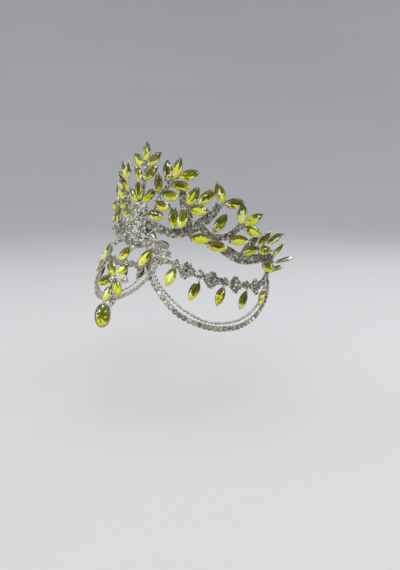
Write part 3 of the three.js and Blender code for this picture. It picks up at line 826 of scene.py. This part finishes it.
class Setting:
    """The three materials of one group of stones, built side by side."""

    def __init__(self, name, glow=0.0):
        self.name = name
        # glow: how much lighter this group's clear stones are painted.
        self.glow = glow
        self.metal = new_piece()
        self.clear = new_piece()
        self.coloured = new_piece()

    def round_stone(self, place, size, clawed=False):
        """A round stone in its cup, a little askew."""
        wobble = (
            Matrix.Rotation(chance.uniform(-SEAT_WOBBLE, SEAT_WOBBLE), 4, "X")
            @ Matrix.Rotation(chance.uniform(-SEAT_WOBBLE, SEAT_WOBBLE), 4, "Y")
            @ spun(chance.uniform(0, TAU))
        )
        grow = Matrix.Scale(size, 4)
        place = place @ wobble
        stamp(self.clear, ROUND_CUT, place @ grow, clear_tone(self.glow))
        stamp(self.metal, ROUND_SEAT, place @ grow)
        for i in range(STONE_CLAW["count"] * clawed):
            foot = shift(-STONE_CLAW["out"] * size, 0, -STONE_CLAW["below"] * size)
            turn = spun(TAU * (i + 0.5) / STONE_CLAW["count"])
            stamp(self.metal, CLAW, place @ turn @ foot @ Matrix.Scale(STONE_CLAW["size"] * size, 4))

    def seat(self, place, size, closest=CLOSEST, clawed=False):
        """A round stone, unless another one is too close."""
        if claim(place.translation, size / 2, closest):
            self.round_stone(place, size, clawed)

    def leaf(self, place, length, width, clear=False, eyelet=False):
        """A marquise in its cup, held by six claws."""
        grow = Matrix.Diagonal((length / LEAF["length"], width / LEAF["width"], 1, 1))
        cut = chance.choice(NAVETTE_CUTS)
        if clear:
            stamp(self.clear, cut, place @ grow, clear_petal_tone)
        else:
            stamp(self.coloured, cut, place @ grow, coloured_tone(place, LEAF["length"], LEAF["width"]))
        stamp(self.metal, NAVETTE_SEAT, place @ grow)
        for x, y, size in LEAF_CLAWS:
            foot = shift(x * length / 2, y * width / 2, LEAF_CLAW["up"])
            if y:
                inwards = math.atan2(-LEAF_CLAW["across"] * y, -LEAF_CLAW["along"] * x)
            else:
                inwards = math.atan2(0, -x)
            taller = Matrix.Diagonal((size, size, size * LEAF_CLAW["taller"], 1))
            stamp(self.metal, CLAW, place @ foot @ spun(inwards) @ taller)
        if eyelet:
            out = shift(length / 2 + LEAF_EYELET["out"], 0, LEAF_EYELET["up"])
            stamp(self.metal, EYELET, place @ out)

    def jump_ring(self, place, x, z=0.0, turn=ON_EDGE):
        """A jump ring on the line along a place, standing up unless it is turned another way."""
        stamp(self.metal, JUMP_RING, place @ shift(x, 0, z) @ turn)

    def finish(self):
        """Makes the pieces that stand for the node of the same name."""
        join_piece(f"{self.name}_setting", self.metal, SILVER, self.name)
        join_piece(f"{self.name}_clear_stones", self.clear, CLEAR, self.name)
        join_piece(f"{self.name}_citrines", self.coloured, CITRINE, self.name)


def join_piece(name, bm, material, node):
    """Makes one piece of what was added together, unless nothing was."""
    if not bm.faces:
        bm.free()
        return
    bmesh.ops.scale(bm, vec=(MM, MM, MM), verts=bm.verts)
    mesh = bpy.data.meshes.new(name)
    bm.to_mesh(mesh)
    bm.free()
    mesh.materials.append(material)
    piece = bpy.data.objects.new(name, mesh)
    bpy.context.scene.collection.objects.link(piece)
    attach(piece, "root")
    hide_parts(node)


# ---------------------------------------------------------------- paved strips
class Paving:
    """Stones and their plate on a strip.

    dome is mm that its middle rises, proud is mm from the strip to the seats of the stones, and
    rims are the edges that have a wire: 1, -1, both or none.
    """

    def __init__(self, setting, strip, stone, dome, proud, rims):
        self.setting = setting
        self.strip = strip
        self.stone = stone
        self.dome = dome
        self.proud = proud
        self.rims = rims

    def bulge(self, y, t):
        """Mm that the dome has risen at a share y of the width and t of the length."""
        return self.dome * (1 - 4 * y * y) * math.sin(math.pi * self.strip.mark_at(t * self.strip.total))

    def add_base(self, thickness, inset):
        """The plate, which is inset by some mm from the strip's width."""
        columns = max(PLATE["fewest"], int(self.strip.total / PLATE["step"]))
        add_plate(
            self.setting.metal, self.strip, columns,
            lambda y, t: self.bulge(y, t) + self.proud - PLATE["below"], thickness, inset,
        )

    def add_rims(self):
        """A wire along each edge that has one."""
        for edge in self.rims:
            count = max(RIM["fewest"], int(self.strip.total / RIM["step"]))
            rise = self.proud - RIM["drop"]
            points = [
                s.point + s.across * (edge * (s.width / 2 - RIM["inset"])) + s.out * rise
                for s in self.strip.stations(count)
            ]
            add_wire(self.setting.metal, points, RIM["radius"])

    def lay_edge_row(self, stone):
        """A row of larger stones with claws, along the edge that has no rim."""
        for s in self.strip.middles(round(self.strip.total / stone)):
            point = s.point - s.across * ((s.width - stone) / 2 + EDGE_ROW_OUT) + s.out * self.proud
            self.setting.seat(facing(point, s.along, s.out), stone, clawed=True)

    def lay_rows(self, front_glow):
        """Staggered rows, and with front_glow the first stones are painted brighter than the rest."""
        glow = self.setting.glow
        walked = self.stone * ROWS["before"]
        odd = False
        while walked < self.strip.total - self.stone * ROWS["after"]:
            if front_glow:
                self.setting.glow = glow + FRONT_GLOW["more"] * max(0, 1 - walked / FRONT_GLOW["fades"])
            self.lay_row(walked, odd)
            walked += self.stone * ROWS["pitch"]
            odd = not odd
        self.setting.glow = glow

    def lay_row(self, walked, odd):
        """One row across the strip, with one stone fewer where it is an odd one."""
        s = self.strip.at(walked)
        room = s.width - 2 * RIM["inset"] if self.rims else s.width
        count = max(1, round(room / self.stone))
        gap = room / count
        if odd and count > 1:
            count -= 1
        for j in range(count):
            y = (j - (count - 1) / 2) * gap
            rise = self.bulge(y / s.width, walked / self.strip.total)
            size = self.stone * chance.uniform(ROWS["smallest"], ROWS["largest"])
            point = s.point + s.across * y + s.out * (rise + self.proud)
            slope = 8 * self.dome * y / max(s.width**2, 1)
            normal = s.out + s.across * slope
            self.setting.seat(facing(point, s.along, normal), size, clawed=size > CLAWED_FROM)

    def lay_skirt(self):
        """A row of stones along both edges that faces sideways."""
        lean = math.radians(SKIRT["lean"])
        for s in self.strip.middles(round(self.strip.total / SKIRT["stone"])):
            for edge in (1, -1):
                aside = edge * (s.width / 2 - SKIRT["inset"])
                point = s.point + s.across * aside + s.out * (self.proud - SKIRT["drop"])
                normal = s.out * math.cos(lean) + s.across * (edge * math.sin(lean))
                self.setting.seat(facing(point, s.along, normal), SKIRT["stone"], SKIRT["closest"])


def pave(
    setting, strip, stone, dome=0.0, proud=0.5, rims=(1, -1),
    plate=1.1, inset=0.5, edge_stone=None, front_glow=False, skirt=False,
):
    """A plate laid with rows of round stones. inset is mm that the plate is narrower than the strip."""
    paving = Paving(setting, strip, stone, dome, proud, rims)
    paving.add_base(plate, inset)
    paving.add_rims()
    if edge_stone:
        paving.lay_edge_row(edge_stone)
    paving.lay_rows(front_glow)
    if skirt:
        paving.lay_skirt()


def wall_strip(name, side=1):
    """A plate's strip on the flared wall."""
    return Strip(wall_spot, PLATES[name], side)


def build_shield():
    """The domed shield at the front."""
    shield = Setting("front_plate", GLOW["front_plate"])
    pave(
        shield, wall_strip("front_plate"), stone=2.4, dome=2.4, proud=1.3, rims=(),
        plate=1.6, inset=1.6, skirt=True,
    )
    shield.finish()


def build_arches(side_name, side):
    """The front arch with its sprig, the scroll, and the rear arch with its rise."""
    arch = Setting(f"arch_front_{side_name}", GLOW["arch_front"])
    pave(arch, wall_strip("arch_front", side), stone=2.3, rims=(), inset=1.0, front_glow=True)
    pave(arch, wall_strip("stone_sprig", side), stone=2.3)
    arch.finish()
    scroll = Setting(f"scroll_{side_name}", GLOW["scroll"])
    pave(scroll, wall_strip("scroll", side), stone=2.2)
    scroll.finish()
    rear = Setting(f"arch_rear_{side_name}", GLOW["arch_rear"])
    pave(rear, wall_strip("arch_rear", side), stone=2.4, edge_stone=3.3, rims=(1,))
    pave(rear, wall_strip("rear_rise", side), stone=2.4)
    rear.finish()


# ---------------------------------------------------------------- sprays of leaves
def leaf_place(around, up, lean, lift):
    """A leaf's place on the wall, and the point where it meets its stem."""
    origin, along, rise, out = wall_spot(around, up)
    lean, lift = math.radians(lean), math.radians(lift)
    direction = (
        rise * (math.cos(lean) * math.cos(lift))
        + along * (math.sin(lean) * math.cos(lift))
        + out * math.sin(lift)
    )
    centre = origin + out * (LEAF["proud"] + LEAF["length"] / 2 * math.sin(lift))
    return facing(centre, direction, out), centre - direction * (LEAF["foot"] * LEAF["length"])


def add_leaf_foot(setting, place, base):
    """Small stones where a leaf meets its stem."""
    way, out = place.to_3x3().col[1], place.to_3x3().col[2]
    for aside, size in LEAF_FOOT["stones"]:
        setting.seat(facing(base + way * aside + out * LEAF_FOOT["proud"], way, out), size)


def add_twig(setting, stem, base):
    """A wire with stones along it, from the nearest of the stem's stations to a leaf that stands off."""
    nearest = min(stem, key=lambda s: (s.point - base).length)
    twig = base - nearest.point
    if twig.length <= TWIG["shortest"]:
        return
    add_wire(setting.metal, [nearest.point, (nearest.point + base) / 2, base], TWIG["radius"])
    steps = max(1, int(twig.length / TWIG["stone"]))
    for k in range(1, steps):
        point = nearest.point + twig * (k / steps) + nearest.out * TWIG["stone_proud"]
        setting.seat(facing(point, twig, nearest.out), TWIG["stone"])


def add_plain_stem(setting, stem, samples):
    """A wire stem with one row of stones."""
    add_wire(setting.metal, [s.point for s in samples[::2]], STEM["radius"])
    walked = STEM["stone"] / 2
    while walked < stem.total:
        s = stem.at(walked)
        place = facing(s.point + s.out * STEM["stone_proud"], s.along, s.out)
        setting.seat(place, STEM["stone"], STEM["closest"])
        walked += STEM["stone"]


def build_spray(name, spray, side, eyelets=()):
    """Leaves on their twigs and stem."""
    setting = Setting(name)
    stem = Strip(wall_spot, spray["stem"], side, STEM["proud"])
    samples = stem.stations(max(STEM["fewest"], round(stem.total / STEM["sample"])))
    for i, (around, up, lean, lift) in enumerate(spray["leaves"]):
        place, base = leaf_place(side * around, up, side * lean, lift)
        setting.leaf(place, LEAF["length"], LEAF["width"], eyelet=i in eyelets)
        claim(place.translation, LEAF["kept_clear"])
        add_leaf_foot(setting, place, base)
        add_twig(setting, samples, base)
    if "lattice" in spray:
        rows = [(*row, spray["lattice"]) for row in spray["stem"]]
        lattice = Strip(wall_spot, rows, side, STEM["proud"])
        pave(setting, lattice, spray["stone"], rims=(), inset=STEM["inset"])
    else:
        add_plain_stem(setting, stem, samples)
    setting.finish()


# ---------------------------------------------------------------- band, drops and chains
def motif_spots(lobes):
    """Stones packed in staggered rows inside the lobes."""
    pitch, reach = BAND["pitch"], MOTIF_REACH["rows"]
    inside = pitch * MOTIF_REACH["inside"]
    spots = []
    for row in range(-reach, reach + 1):
        for column in range(-reach, reach + 1):
            x = (column + 0.5 * (row % 2)) * pitch
            y = row * pitch * ROWS["pitch"]
            if any(math.hypot(x - a, y - b) < radius - inside for a, b, radius in lobes):
                spots.append((x, y))
    return spots


def lay_motifs(setting, strip, side):
    """The clusters along the band, with a larger stone in the middle of all but the links."""
    for i, (_, _, width) in enumerate(BAND_ROWS):
        s = strip.at_row(i)
        place = facing(s.point + s.out * BAND["stone_proud"], s.along * side, s.out)
        kind = next(name for name, narrowest in MOTIF_FROM if width > narrowest)
        if kind != "link":
            setting.seat(place, BAND["middle"], BAND["middle_closest"], clawed=True)
        for x, y in motif_spots(MOTIFS[kind]):
            setting.seat(place @ shift(x, y, 0), BAND["stone"], BAND["closest"])


def fill_band(setting, strip):
    """Stones in what the clusters leave bare along the band's middle."""
    for size, step in BAND_FILL:
        for i in range(int(strip.total / step)):
            s = strip.at(i * step)
            reach = min(s.width / 2 - BAND["fill_inset"] * size, BAND["fill_reach"])
            lines = max(2, int(2 * reach / step))
            for k in range(lines + 1):
                aside = reach * (2 * k / lines - 1)
                point = s.point + s.across * aside + s.out * BAND["stone_proud"]
                setting.seat(facing(point, s.along, s.out), size, BAND["closest"])


def build_band(side_name, side):
    """The band of clear stone clusters that lies on the head."""
    setting = Setting(f"band_{side_name}")
    strip = Strip(head_spot, BAND_ROWS, side, BAND["proud"])
    lay_motifs(setting, strip, side)
    fill_band(setting, strip)
    narrow = [
        (around, up, max(width - BAND_PLATE["narrower"], BAND_PLATE["narrowest"]))
        for around, up, width in BAND_ROWS
    ]
    under = Strip(head_spot, narrow, side, BAND["proud"])
    columns = BAND_PLATE["columns"] * len(BAND_ROWS)
    add_plate(setting.metal, under, columns, lambda y, t: BAND_PLATE["proud"], BAND_PLATE["thickness"])
    setting.finish()


def build_band_drop(name, row, side):
    """A marquise that hangs from the band by a jump ring."""
    around_top, up_top, around_tip, up_tip, proud = row
    top, _, _, out = head_spot(side * around_top, up_top)
    tip, _, _, tip_out = head_spot(side * around_tip, up_tip)
    top, tip = top + out * proud, tip + tip_out * proud
    direction = (tip - top).normalized()
    setting = Setting(name)
    length, width = LEAF["length"] * BAND_DROP_SCALE, LEAF["width"] * BAND_DROP_SCALE
    place = facing(top + direction * (LEAF["length"] / 2), direction, out)
    setting.leaf(place, length, width)
    setting.jump_ring(place, -length / 2 - RING_OUT["band_drop"])
    setting.finish()


def add_chain_wire(setting, strip, radius, tone=0.0):
    """The wire that joins the cups or balls of a chain."""
    add_wire(setting.metal, [s.point for s in strip.stations(CHAIN_WIRE_STEPS)], radius, tone)


def build_cup_chain(side_name, side):
    """A draped chain of square cups, each with a round stone and four claws."""
    setting = Setting(f"cup_chain_{side_name}", GLOW["cup_chain"])
    strip = Strip(head_spot, CUP_ROUTE, side, CHAIN_PROUD)
    for s in strip.middles(round(strip.total / CUP["pitch"])):
        if not claim(s.point, CUP["kept_clear"], CUP["closest"]):
            continue
        place = facing(s.point, s.along, s.out)
        stamp(setting.metal, CHAIN_CUP, place)
        for corner in range(4):
            foot = shift(-CUP["claw_out"] * CUP["width"], 0, CUP["claw_up"])
            wider = Matrix.Diagonal((CUP["claw"], CUP["claw"], 1.0, 1))
            stamp(setting.metal, CLAW, place @ spun(TAU * (corner + 0.5) / 4) @ foot @ wider)
        setting.round_stone(place @ shift(0, 0, CUP["stone_proud"]), CUP["stone"])
    add_chain_wire(setting, strip, CUP["wire"])
    setting.finish()


def build_ball_chain(side_name, side):
    """A draped chain of small balls on a wire."""
    setting = Setting(f"ball_chain_{side_name}")
    strip = Strip(head_spot, BALL_ROUTE, side, CHAIN_PROUD)
    for s in strip.stations(round(strip.total / BALLS["pitch"])):
        stamp(setting.metal, BALL, Matrix.Translation(s.point) @ Matrix.Scale(BALLS["radius"], 4))
    add_chain_wire(setting, strip, BALLS["wire"], BALLS["wire_painted_shade"])
    setting.finish()


# ---------------------------------------------------------------- forehead drop
forehead_line = Strip(forehead_spot, FOREHEAD_LINE)


def turned(line, left, turn):
    """A way that is some degrees from the line towards the left."""
    return line * math.cos(math.radians(turn)) + left * math.sin(math.radians(turn))


def forehead_frame(name):
    """A piece of the forehead drop: its middle, the ways down, left and along it, and out of it."""
    piece = FOREHEAD_PIECES[name]
    origin, line, _, _, _ = forehead_line.at(piece["along"])
    out = line.cross(X_AXIS).normalized()
    if out.y > 0:
        out.negate()
    centre = origin + out * piece["proud"] + X_AXIS * piece["aside"]
    roll = -math.radians(piece["roll"])
    way = turned(line, X_AXIS, piece["turn"])
    left = Matrix.Rotation(roll, 3, line) @ X_AXIS
    return centre, line, left, way, Matrix.Rotation(roll, 3, way) @ out


def forehead_place(name):
    """A place on the forehead drop whose +X points along the piece and whose +Z is its face."""
    centre, _, _, way, out = forehead_frame(name)
    return facing(centre, way, out)


def hang(setting, name):
    """Jump rings in a row from the piece above, each turned against the last."""
    upper, upper_back, back = FOREHEAD_HUNG_FROM[name]
    place = forehead_place(name)
    start = forehead_place(upper) @ Vector((FOREHEAD_PIECES[upper]["length"] / 2, 0, -upper_back))
    end = place @ Vector((-FOREHEAD_PIECES[name]["length"] / 2, 0, -back))
    count = max(1, round((end - start).length / JUMP_RING_PITCH))
    for i in range(count):
        ring = facing(start + (end - start) * ((i + 0.5) / count), end - start, place.to_3x3().col[2])
        setting.jump_ring(ring, 0, turn=Matrix.Rotation(math.pi / 2 * (i % 2), 4, "X"))


def build_forehead_link(name):
    """A small oval cup with its stones, a ring at its lower end and rings up to the piece above."""
    setting = Setting(name, GLOW["link"])
    place = forehead_place(name)
    length, width = FOREHEAD_PIECES[name]["length"], FOREHEAD_PIECES[name]["width"]
    stones = LOWER_LINK_STONES if name == "drop_link_lower" else [(0, 0, width * LINK_STONE["share"])]
    stamp(setting.metal, oval_seat(length, width, *LINK_CUP), place)
    for x, y, size in stones:
        setting.round_stone(place @ shift(x, y, LINK_STONE["proud"]), size, clawed=True)
    setting.jump_ring(place, length / 2 + RING_OUT["link"])
    if name in FOREHEAD_HUNG_FROM:
        hang(setting, name)
    else:
        setting.jump_ring(place, -length / 2 - RING_OUT["top_link"], LINK_STONE["proud"], turn=Matrix())
    setting.finish()


def build_forehead_leaf():
    """The marquise below the top link."""
    length, width = FOREHEAD_PIECES["drop_leaf"]["length"], FOREHEAD_PIECES["drop_leaf"]["width"]
    setting = Setting("drop_leaf")
    place = forehead_place("drop_leaf")
    setting.leaf(place, length, width)
    setting.jump_ring(place, -length / 2 - RING_OUT["leaf"], turn=Matrix())
    setting.finish()


def build_forehead_flower():
    """Six petals round a cup that is heaped with round stones."""
    setting = Setting("drop_flower", GLOW["flower"])
    middle = forehead_place("drop_flower")
    size = FOREHEAD_PIECES["drop_flower"]
    stamp(setting.metal, oval_seat(size["length"], size["width"], *FLOWER_CUP), middle)
    setting.round_stone(middle @ shift(0, 0, FLOWER_MIDDLE["proud"]), FLOWER_MIDDLE["size"], clawed=True)
    for count, out, proud, stone in FLOWER_RINGS:
        for i in range(count):
            setting.round_stone(middle @ spun(TAU * i / count) @ shift(out, 0, proud), stone)
    centre, line, left, _, face = forehead_frame("drop_flower")
    for aside, down, turn, clear in PETALS:
        place = facing(centre + left * aside + line * down, turned(line, left, turn), face)
        setting.leaf(place, PETAL["length"], PETAL["width"], clear=clear)
        inner = place @ Vector((-PETAL["length"] * PETAL_WIRE["reach"], 0, -PETAL_WIRE["behind"]))
        halfway = (middle.translation + inner) / 2
        add_wire(setting.metal, [middle.translation, halfway, inner], PETAL_WIRE["radius"])
    hang(setting, "drop_flower")
    setting.finish()


def build_forehead_oval():
    """The large oval stone in its cup of eight claws, at the lower end."""
    length, width = OVAL["length"], OVAL["width"]
    place = forehead_place("drop_oval")
    cup = new_piece()
    stamp(cup, oval_seat(length, width, *LARGE_CUP), place)
    for k in range(OVAL["claws"]):
        angle = TAU * (k + 0.5) / OVAL["claws"]
        rim = Vector((math.cos(angle) * length / 2, math.sin(angle) * width / 2, OVAL["claw_up"]))
        foot = rim * OVAL["claw_ring"]
        turn = spun(math.atan2(-foot.y, -foot.x))
        stamp(cup, CLAW, place @ Matrix.Translation(foot) @ turn @ Matrix.Scale(OVAL["claw"], 4))
    stamp(cup, JUMP_RING, place @ shift(-length / 2 - RING_OUT["oval"], 0, 0) @ ON_EDGE)
    join_piece("drop_oval_cup", cup, SILVER, "drop_oval_setting")
    stone = new_piece()
    stamp(stone, OVAL_CUT, place, coloured_tone(place, length, width, OVAL["turn"]))
    join_piece("drop_oval_citrine", stone, CITRINE, "drop_oval_stone")


# ---------------------------------------------------------------- materials
SILVER_ROUGHNESS = (0.14, 0.34)
FLAWS = (-0.14, 0.14)  # how much the tone drifts within a facet
# Stops of each colour ramp: its place, and red, green and blue.
SILVER_STOPS = [(0.3, (0.32, 0.315, 0.25)), (0.5, (0.5, 0.49, 0.4)), (0.7, (0.76, 0.75, 0.66))]
# Painted shade: the dark colour that silver is mixed towards in the gaps under and between the stones.
PAINTED_GAP_SHADE = (0.035, 0.033, 0.028, 1)
# The clear ramps run from painted shade to a white painted glint: clear glass has no such tones of its
# own.
CLEAR_STOPS = [
    (0.0, (0.02, 0.02, 0.013)), (0.3, (0.13, 0.125, 0.08)), (0.6, (0.38, 0.37, 0.265)),
    (0.82, (0.7, 0.69, 0.56)), (1.0, (1.0, 1.0, 0.94)),
]
CLEAR_WARM_STOPS = [(0.0, (0.03, 0.028, 0.015)), (0.5, (0.28, 0.27, 0.17)), (1.0, (0.9, 0.9, 0.75))]
# The lemon ramps keep the glass's own yellow, and run from a painted dark olive shade to a white painted
# glint.
LEMON_STOPS = [
    (0.0, (0.025, 0.03, 0.001)), (0.22, (0.10, 0.115, 0.003)), (0.45, (0.27, 0.30, 0.006)),
    (0.66, (0.62, 0.66, 0.012)), (0.85, (0.86, 0.89, 0.07)), (0.97, (0.97, 0.98, 0.72)),
]
LEMON_AMBER_STOPS = [
    (0.0, (0.03, 0.022, 0.0)), (0.3, (0.20, 0.10, 0.002)),
    (0.6, (0.56, 0.42, 0.004)), (0.9, (0.93, 0.86, 0.1)),
]
FLOOR_STOPS = [(0.3, (0.55, 0.55, 0.55)), (0.7, (0.58, 0.58, 0.58))]


def set_sockets(node, **values):
    """Sets a node's inputs by their names in small letters."""
    for socket, value in values.items():
        node.inputs[socket.replace("_", " ").title().replace("Ior", "IOR")].default_value = value
    return node


def shader_of(name, **values):
    """A new material with its nodes, its links and its shader."""
    material = bpy.data.materials.new(name)
    material.use_nodes = True
    shader = set_sockets(material.node_tree.nodes["Principled BSDF"], **values)
    return material, material.node_tree.nodes, material.node_tree.links, shader


def ramp_of(nodes, stops):
    """A colour ramp with these stops."""
    ramp = nodes.new("ShaderNodeValToRGB")
    points = ramp.color_ramp.elements
    while len(points) < len(stops):
        points.new(0.5)
    for point, (place, colour) in zip(points, stops):
        point.position = place
        point.color = (*colour, 1)
    return ramp


def noise_of(nodes, links, coords, **values):
    """Noise that stays on the piece, from its own coordinates."""
    noise = set_sockets(nodes.new("ShaderNodeTexNoise"), **values)
    links.new(coords.outputs["Object"], noise.inputs["Vector"])
    return noise


def facet_of(nodes):
    """The tone that every face carries."""
    facet = nodes.new("ShaderNodeAttribute")
    facet.attribute_name = "facet"
    return facet


def mix_of(nodes, links, share, first, second):
    """Two colours mixed, where the second one is a socket or a plain colour."""
    mix = nodes.new("ShaderNodeMix")
    mix.data_type = "RGBA"
    links.new(share, mix.inputs["Factor"])
    links.new(first, mix.inputs["A"])
    if isinstance(second, tuple):
        mix.inputs["B"].default_value = second
    else:
        links.new(second, mix.inputs["B"])
    return mix.outputs["Result"]


def spread_of(nodes, links, value, low, high):
    """A value from 0 to 1 spread between two others."""
    spread = set_sockets(nodes.new("ShaderNodeMapRange"), to_min=low, to_max=high)
    links.new(value, spread.inputs["Value"])
    return spread.outputs["Result"]


def plated_silver():
    """Plated silver: faint cloudy tarnish, darkened by the faces' tone to a painted shade in the gaps
    under and between the stones, with a surface that is never even.
    """
    material, nodes, links, shader = shader_of("plated silver", metallic=1.0)
    coords = nodes.new("ShaderNodeTexCoord")
    cloud = noise_of(nodes, links, coords, scale=260, detail=3)
    ramp = ramp_of(nodes, SILVER_STOPS)
    links.new(cloud.outputs["Fac"], ramp.inputs["Fac"])
    # The faces' tone mixes the silver towards the painted shade of the gaps.
    colour = mix_of(nodes, links, facet_of(nodes).outputs["Fac"], ramp.outputs["Color"], PAINTED_GAP_SHADE)
    links.new(colour, shader.inputs["Base Color"])
    roughness = spread_of(nodes, links, cloud.outputs["Fac"], *SILVER_ROUGHNESS)
    links.new(roughness, shader.inputs["Roughness"])
    grain = noise_of(nodes, links, coords, scale=1400)
    bump = set_sockets(nodes.new("ShaderNodeBump"), strength=0.25, distance=0.0001)
    links.new(grain.outputs["Fac"], bump.inputs["Height"])
    links.new(bump.outputs["Normal"], shader.inputs["Normal"])
    return material


def cut_glass(name, stops, second_stops, second_share, **values):
    """Cut glass: each facet carries a tone of painted light, shade or glint, and a share of them turn to
    a second colour.
    """
    material, nodes, links, shader = shader_of(name, **values)
    parts = nodes.new("ShaderNodeSeparateXYZ")
    links.new(facet_of(nodes).outputs["Vector"], parts.inputs["Vector"])
    flaw = noise_of(nodes, links, nodes.new("ShaderNodeTexCoord"), scale=420)
    tone = nodes.new("ShaderNodeMath")
    tone.operation = "ADD"
    links.new(parts.outputs["X"], tone.inputs[0])
    links.new(spread_of(nodes, links, flaw.outputs["Fac"], *FLAWS), tone.inputs[1])
    first, second = ramp_of(nodes, stops), ramp_of(nodes, second_stops)
    for ramp in (first, second):
        links.new(tone.outputs["Value"], ramp.inputs["Fac"])
    pick = nodes.new("ShaderNodeMath")
    pick.operation = "LESS_THAN"
    pick.inputs[1].default_value = second_share
    links.new(parts.outputs["Y"], pick.inputs[0])
    colour = mix_of(nodes, links, pick.outputs["Value"], first.outputs["Color"], second.outputs["Color"])
    links.new(colour, shader.inputs["Base Color"])
    return material


def pale_floor():
    """An even pale grey with the faintest of clouds."""
    material, nodes, links, shader = shader_of("pale floor", roughness=0.8)
    cloud = set_sockets(nodes.new("ShaderNodeTexNoise"), scale=3)
    ramp = ramp_of(nodes, FLOOR_STOPS)
    links.new(cloud.outputs["Fac"], ramp.inputs["Fac"])
    links.new(ramp.outputs["Color"], shader.inputs["Base Color"])
    return material


SILVER = plated_silver()
CLEAR = cut_glass(
    "clear cut glass", CLEAR_STOPS, CLEAR_WARM_STOPS, 0.2,
    metallic=0.1, roughness=0.1, ior=1.5, specular_ior_level=0.4,
)
CITRINE = cut_glass(
    "lemon cut glass", LEMON_STOPS, LEMON_AMBER_STOPS, 0.16,
    metallic=0.0, roughness=0.08, ior=1.5, specular_ior_level=0.2,
)

# ---------------------------------------------------------------- the crown
build_shield()
build_spray("centre_tree", CENTRE_TREE, 1)
for side_name, side in SIDES.items():
    build_arches(side_name, side)
    for spray_name, spray in SPRAYS.items():
        build_spray(f"{spray_name}_{side_name}", spray, side, EYELETS.get(spray_name, ()))
    build_band(side_name, side)
    for i, row in enumerate(BAND_DROPS):
        build_band_drop(f"band_drop_{side_name}_{i + 1}", row, side)
    build_cup_chain(side_name, side)
    build_ball_chain(side_name, side)
for link_name in ("drop_link_top", "drop_link_middle", "drop_link_lower"):
    build_forehead_link(link_name)
build_forehead_leaf()
build_forehead_flower()
build_forehead_oval()

# ---------------------------------------------------------------- studio
# All in metres, watts and degrees. The floor is a disc whose edge sweeps up to a wall.
FLOOR = {"height": -0.13, "radius": 1.6, "sweep": 1.7, "sides": 96, "steps": 12}
SKY = {"colour": (0.93, 0.95, 1.0, 1), "strength": 0.75}
# place, size, power, and the point that each light faces
LIGHTS = {
    "key_light": ((0.45, -0.8, 0.9), 0.9, 3.5, (0.02, -0.03, 0.03)),
    "fill_light": ((-0.8, -0.55, 0.45), 0.9, 2.5, (0.0, -0.03, 0.02)),
    "top_light": ((0.1, 0.1, 1.1), 0.9, 6, (0.0, 0.0, 0.03)),
    "back_light": ((0.35, 0.9, 0.6), 0.8, 2.5, (0.0, 0.0, 0.03)),
}
CAMERA = {"place": (0.3177, -0.3379, 0.081), "azimuth": 42, "elevation": 13, "lens": 40.5}


def lay_floor():
    """One curved sheet: a flat disc, and a quarter circle swept up from its edge."""
    bm = bmesh.new()
    ground = Matrix.Translation((0, 0, FLOOR["height"]))
    bmesh.ops.create_circle(
        bm, cap_ends=True, segments=FLOOR["sides"], radius=FLOOR["radius"], matrix=ground,
    )
    rim = [e for e in bm.edges if e.is_boundary]
    for step in range(1, FLOOR["steps"] + 1):
        turn = math.radians(90 * step / FLOOR["steps"])
        made = bmesh.ops.extrude_edge_only(bm, edges=rim)["geom"]
        rim = [item for item in made if isinstance(item, bmesh.types.BMEdge)]
        radius = FLOOR["radius"] + FLOOR["sweep"] * math.sin(turn)
        height = FLOOR["height"] + FLOOR["sweep"] * (1 - math.cos(turn))
        for v in {v for e in rim for v in e.verts}:
            flat = Vector((v.co.x, v.co.y, 0)).normalized() * radius
            v.co = Vector((flat.x, flat.y, height))
    for face in bm.faces:
        face.smooth = True
    mesh = bpy.data.meshes.new("studio_floor")
    bm.to_mesh(mesh)
    bm.free()
    mesh.materials.append(pale_floor())
    floor = bpy.data.objects.new("studio_floor", mesh)
    bpy.context.scene.collection.objects.link(floor)


def place_object(name, data, spot, way):
    """Puts a light or the camera at a spot, looking along a way."""
    placed = bpy.data.objects.new(name, data)
    placed.location = spot
    placed.rotation_euler = way.to_track_quat("-Z", "Y").to_euler()
    bpy.context.scene.collection.objects.link(placed)
    return placed


def light_studio():
    """A pale sky and four large soft lamps."""
    world = bpy.data.worlds.new("studio")
    bpy.context.scene.world = world
    world.use_nodes = True
    set_sockets(world.node_tree.nodes["Background"], color=SKY["colour"], strength=SKY["strength"])
    for name, (spot, size, power, aim) in LIGHTS.items():
        light = bpy.data.lights.new(name, "AREA")
        light.shape = "SQUARE"
        light.size = size
        light.energy = power
        place_object(name, light, spot, Vector(aim) - Vector(spot))


def set_camera():
    """A camera in front and to the wearer's left, a little above the crown."""
    azimuth, elevation = math.radians(CAMERA["azimuth"]), math.radians(CAMERA["elevation"])
    forward = Vector((
        -math.sin(azimuth) * math.cos(elevation),
        math.cos(azimuth) * math.cos(elevation),
        -math.sin(elevation),
    ))
    lens = bpy.data.cameras.new("camera")
    lens.sensor_fit = "HORIZONTAL"
    lens.sensor_width = 36
    lens.lens = CAMERA["lens"]
    lens.clip_start = 0.01
    bpy.context.scene.camera = place_object("camera", lens, CAMERA["place"], forward)


lay_floor()
light_studio()
set_camera()
bpy.context.scene.view_settings.view_transform = "Standard"
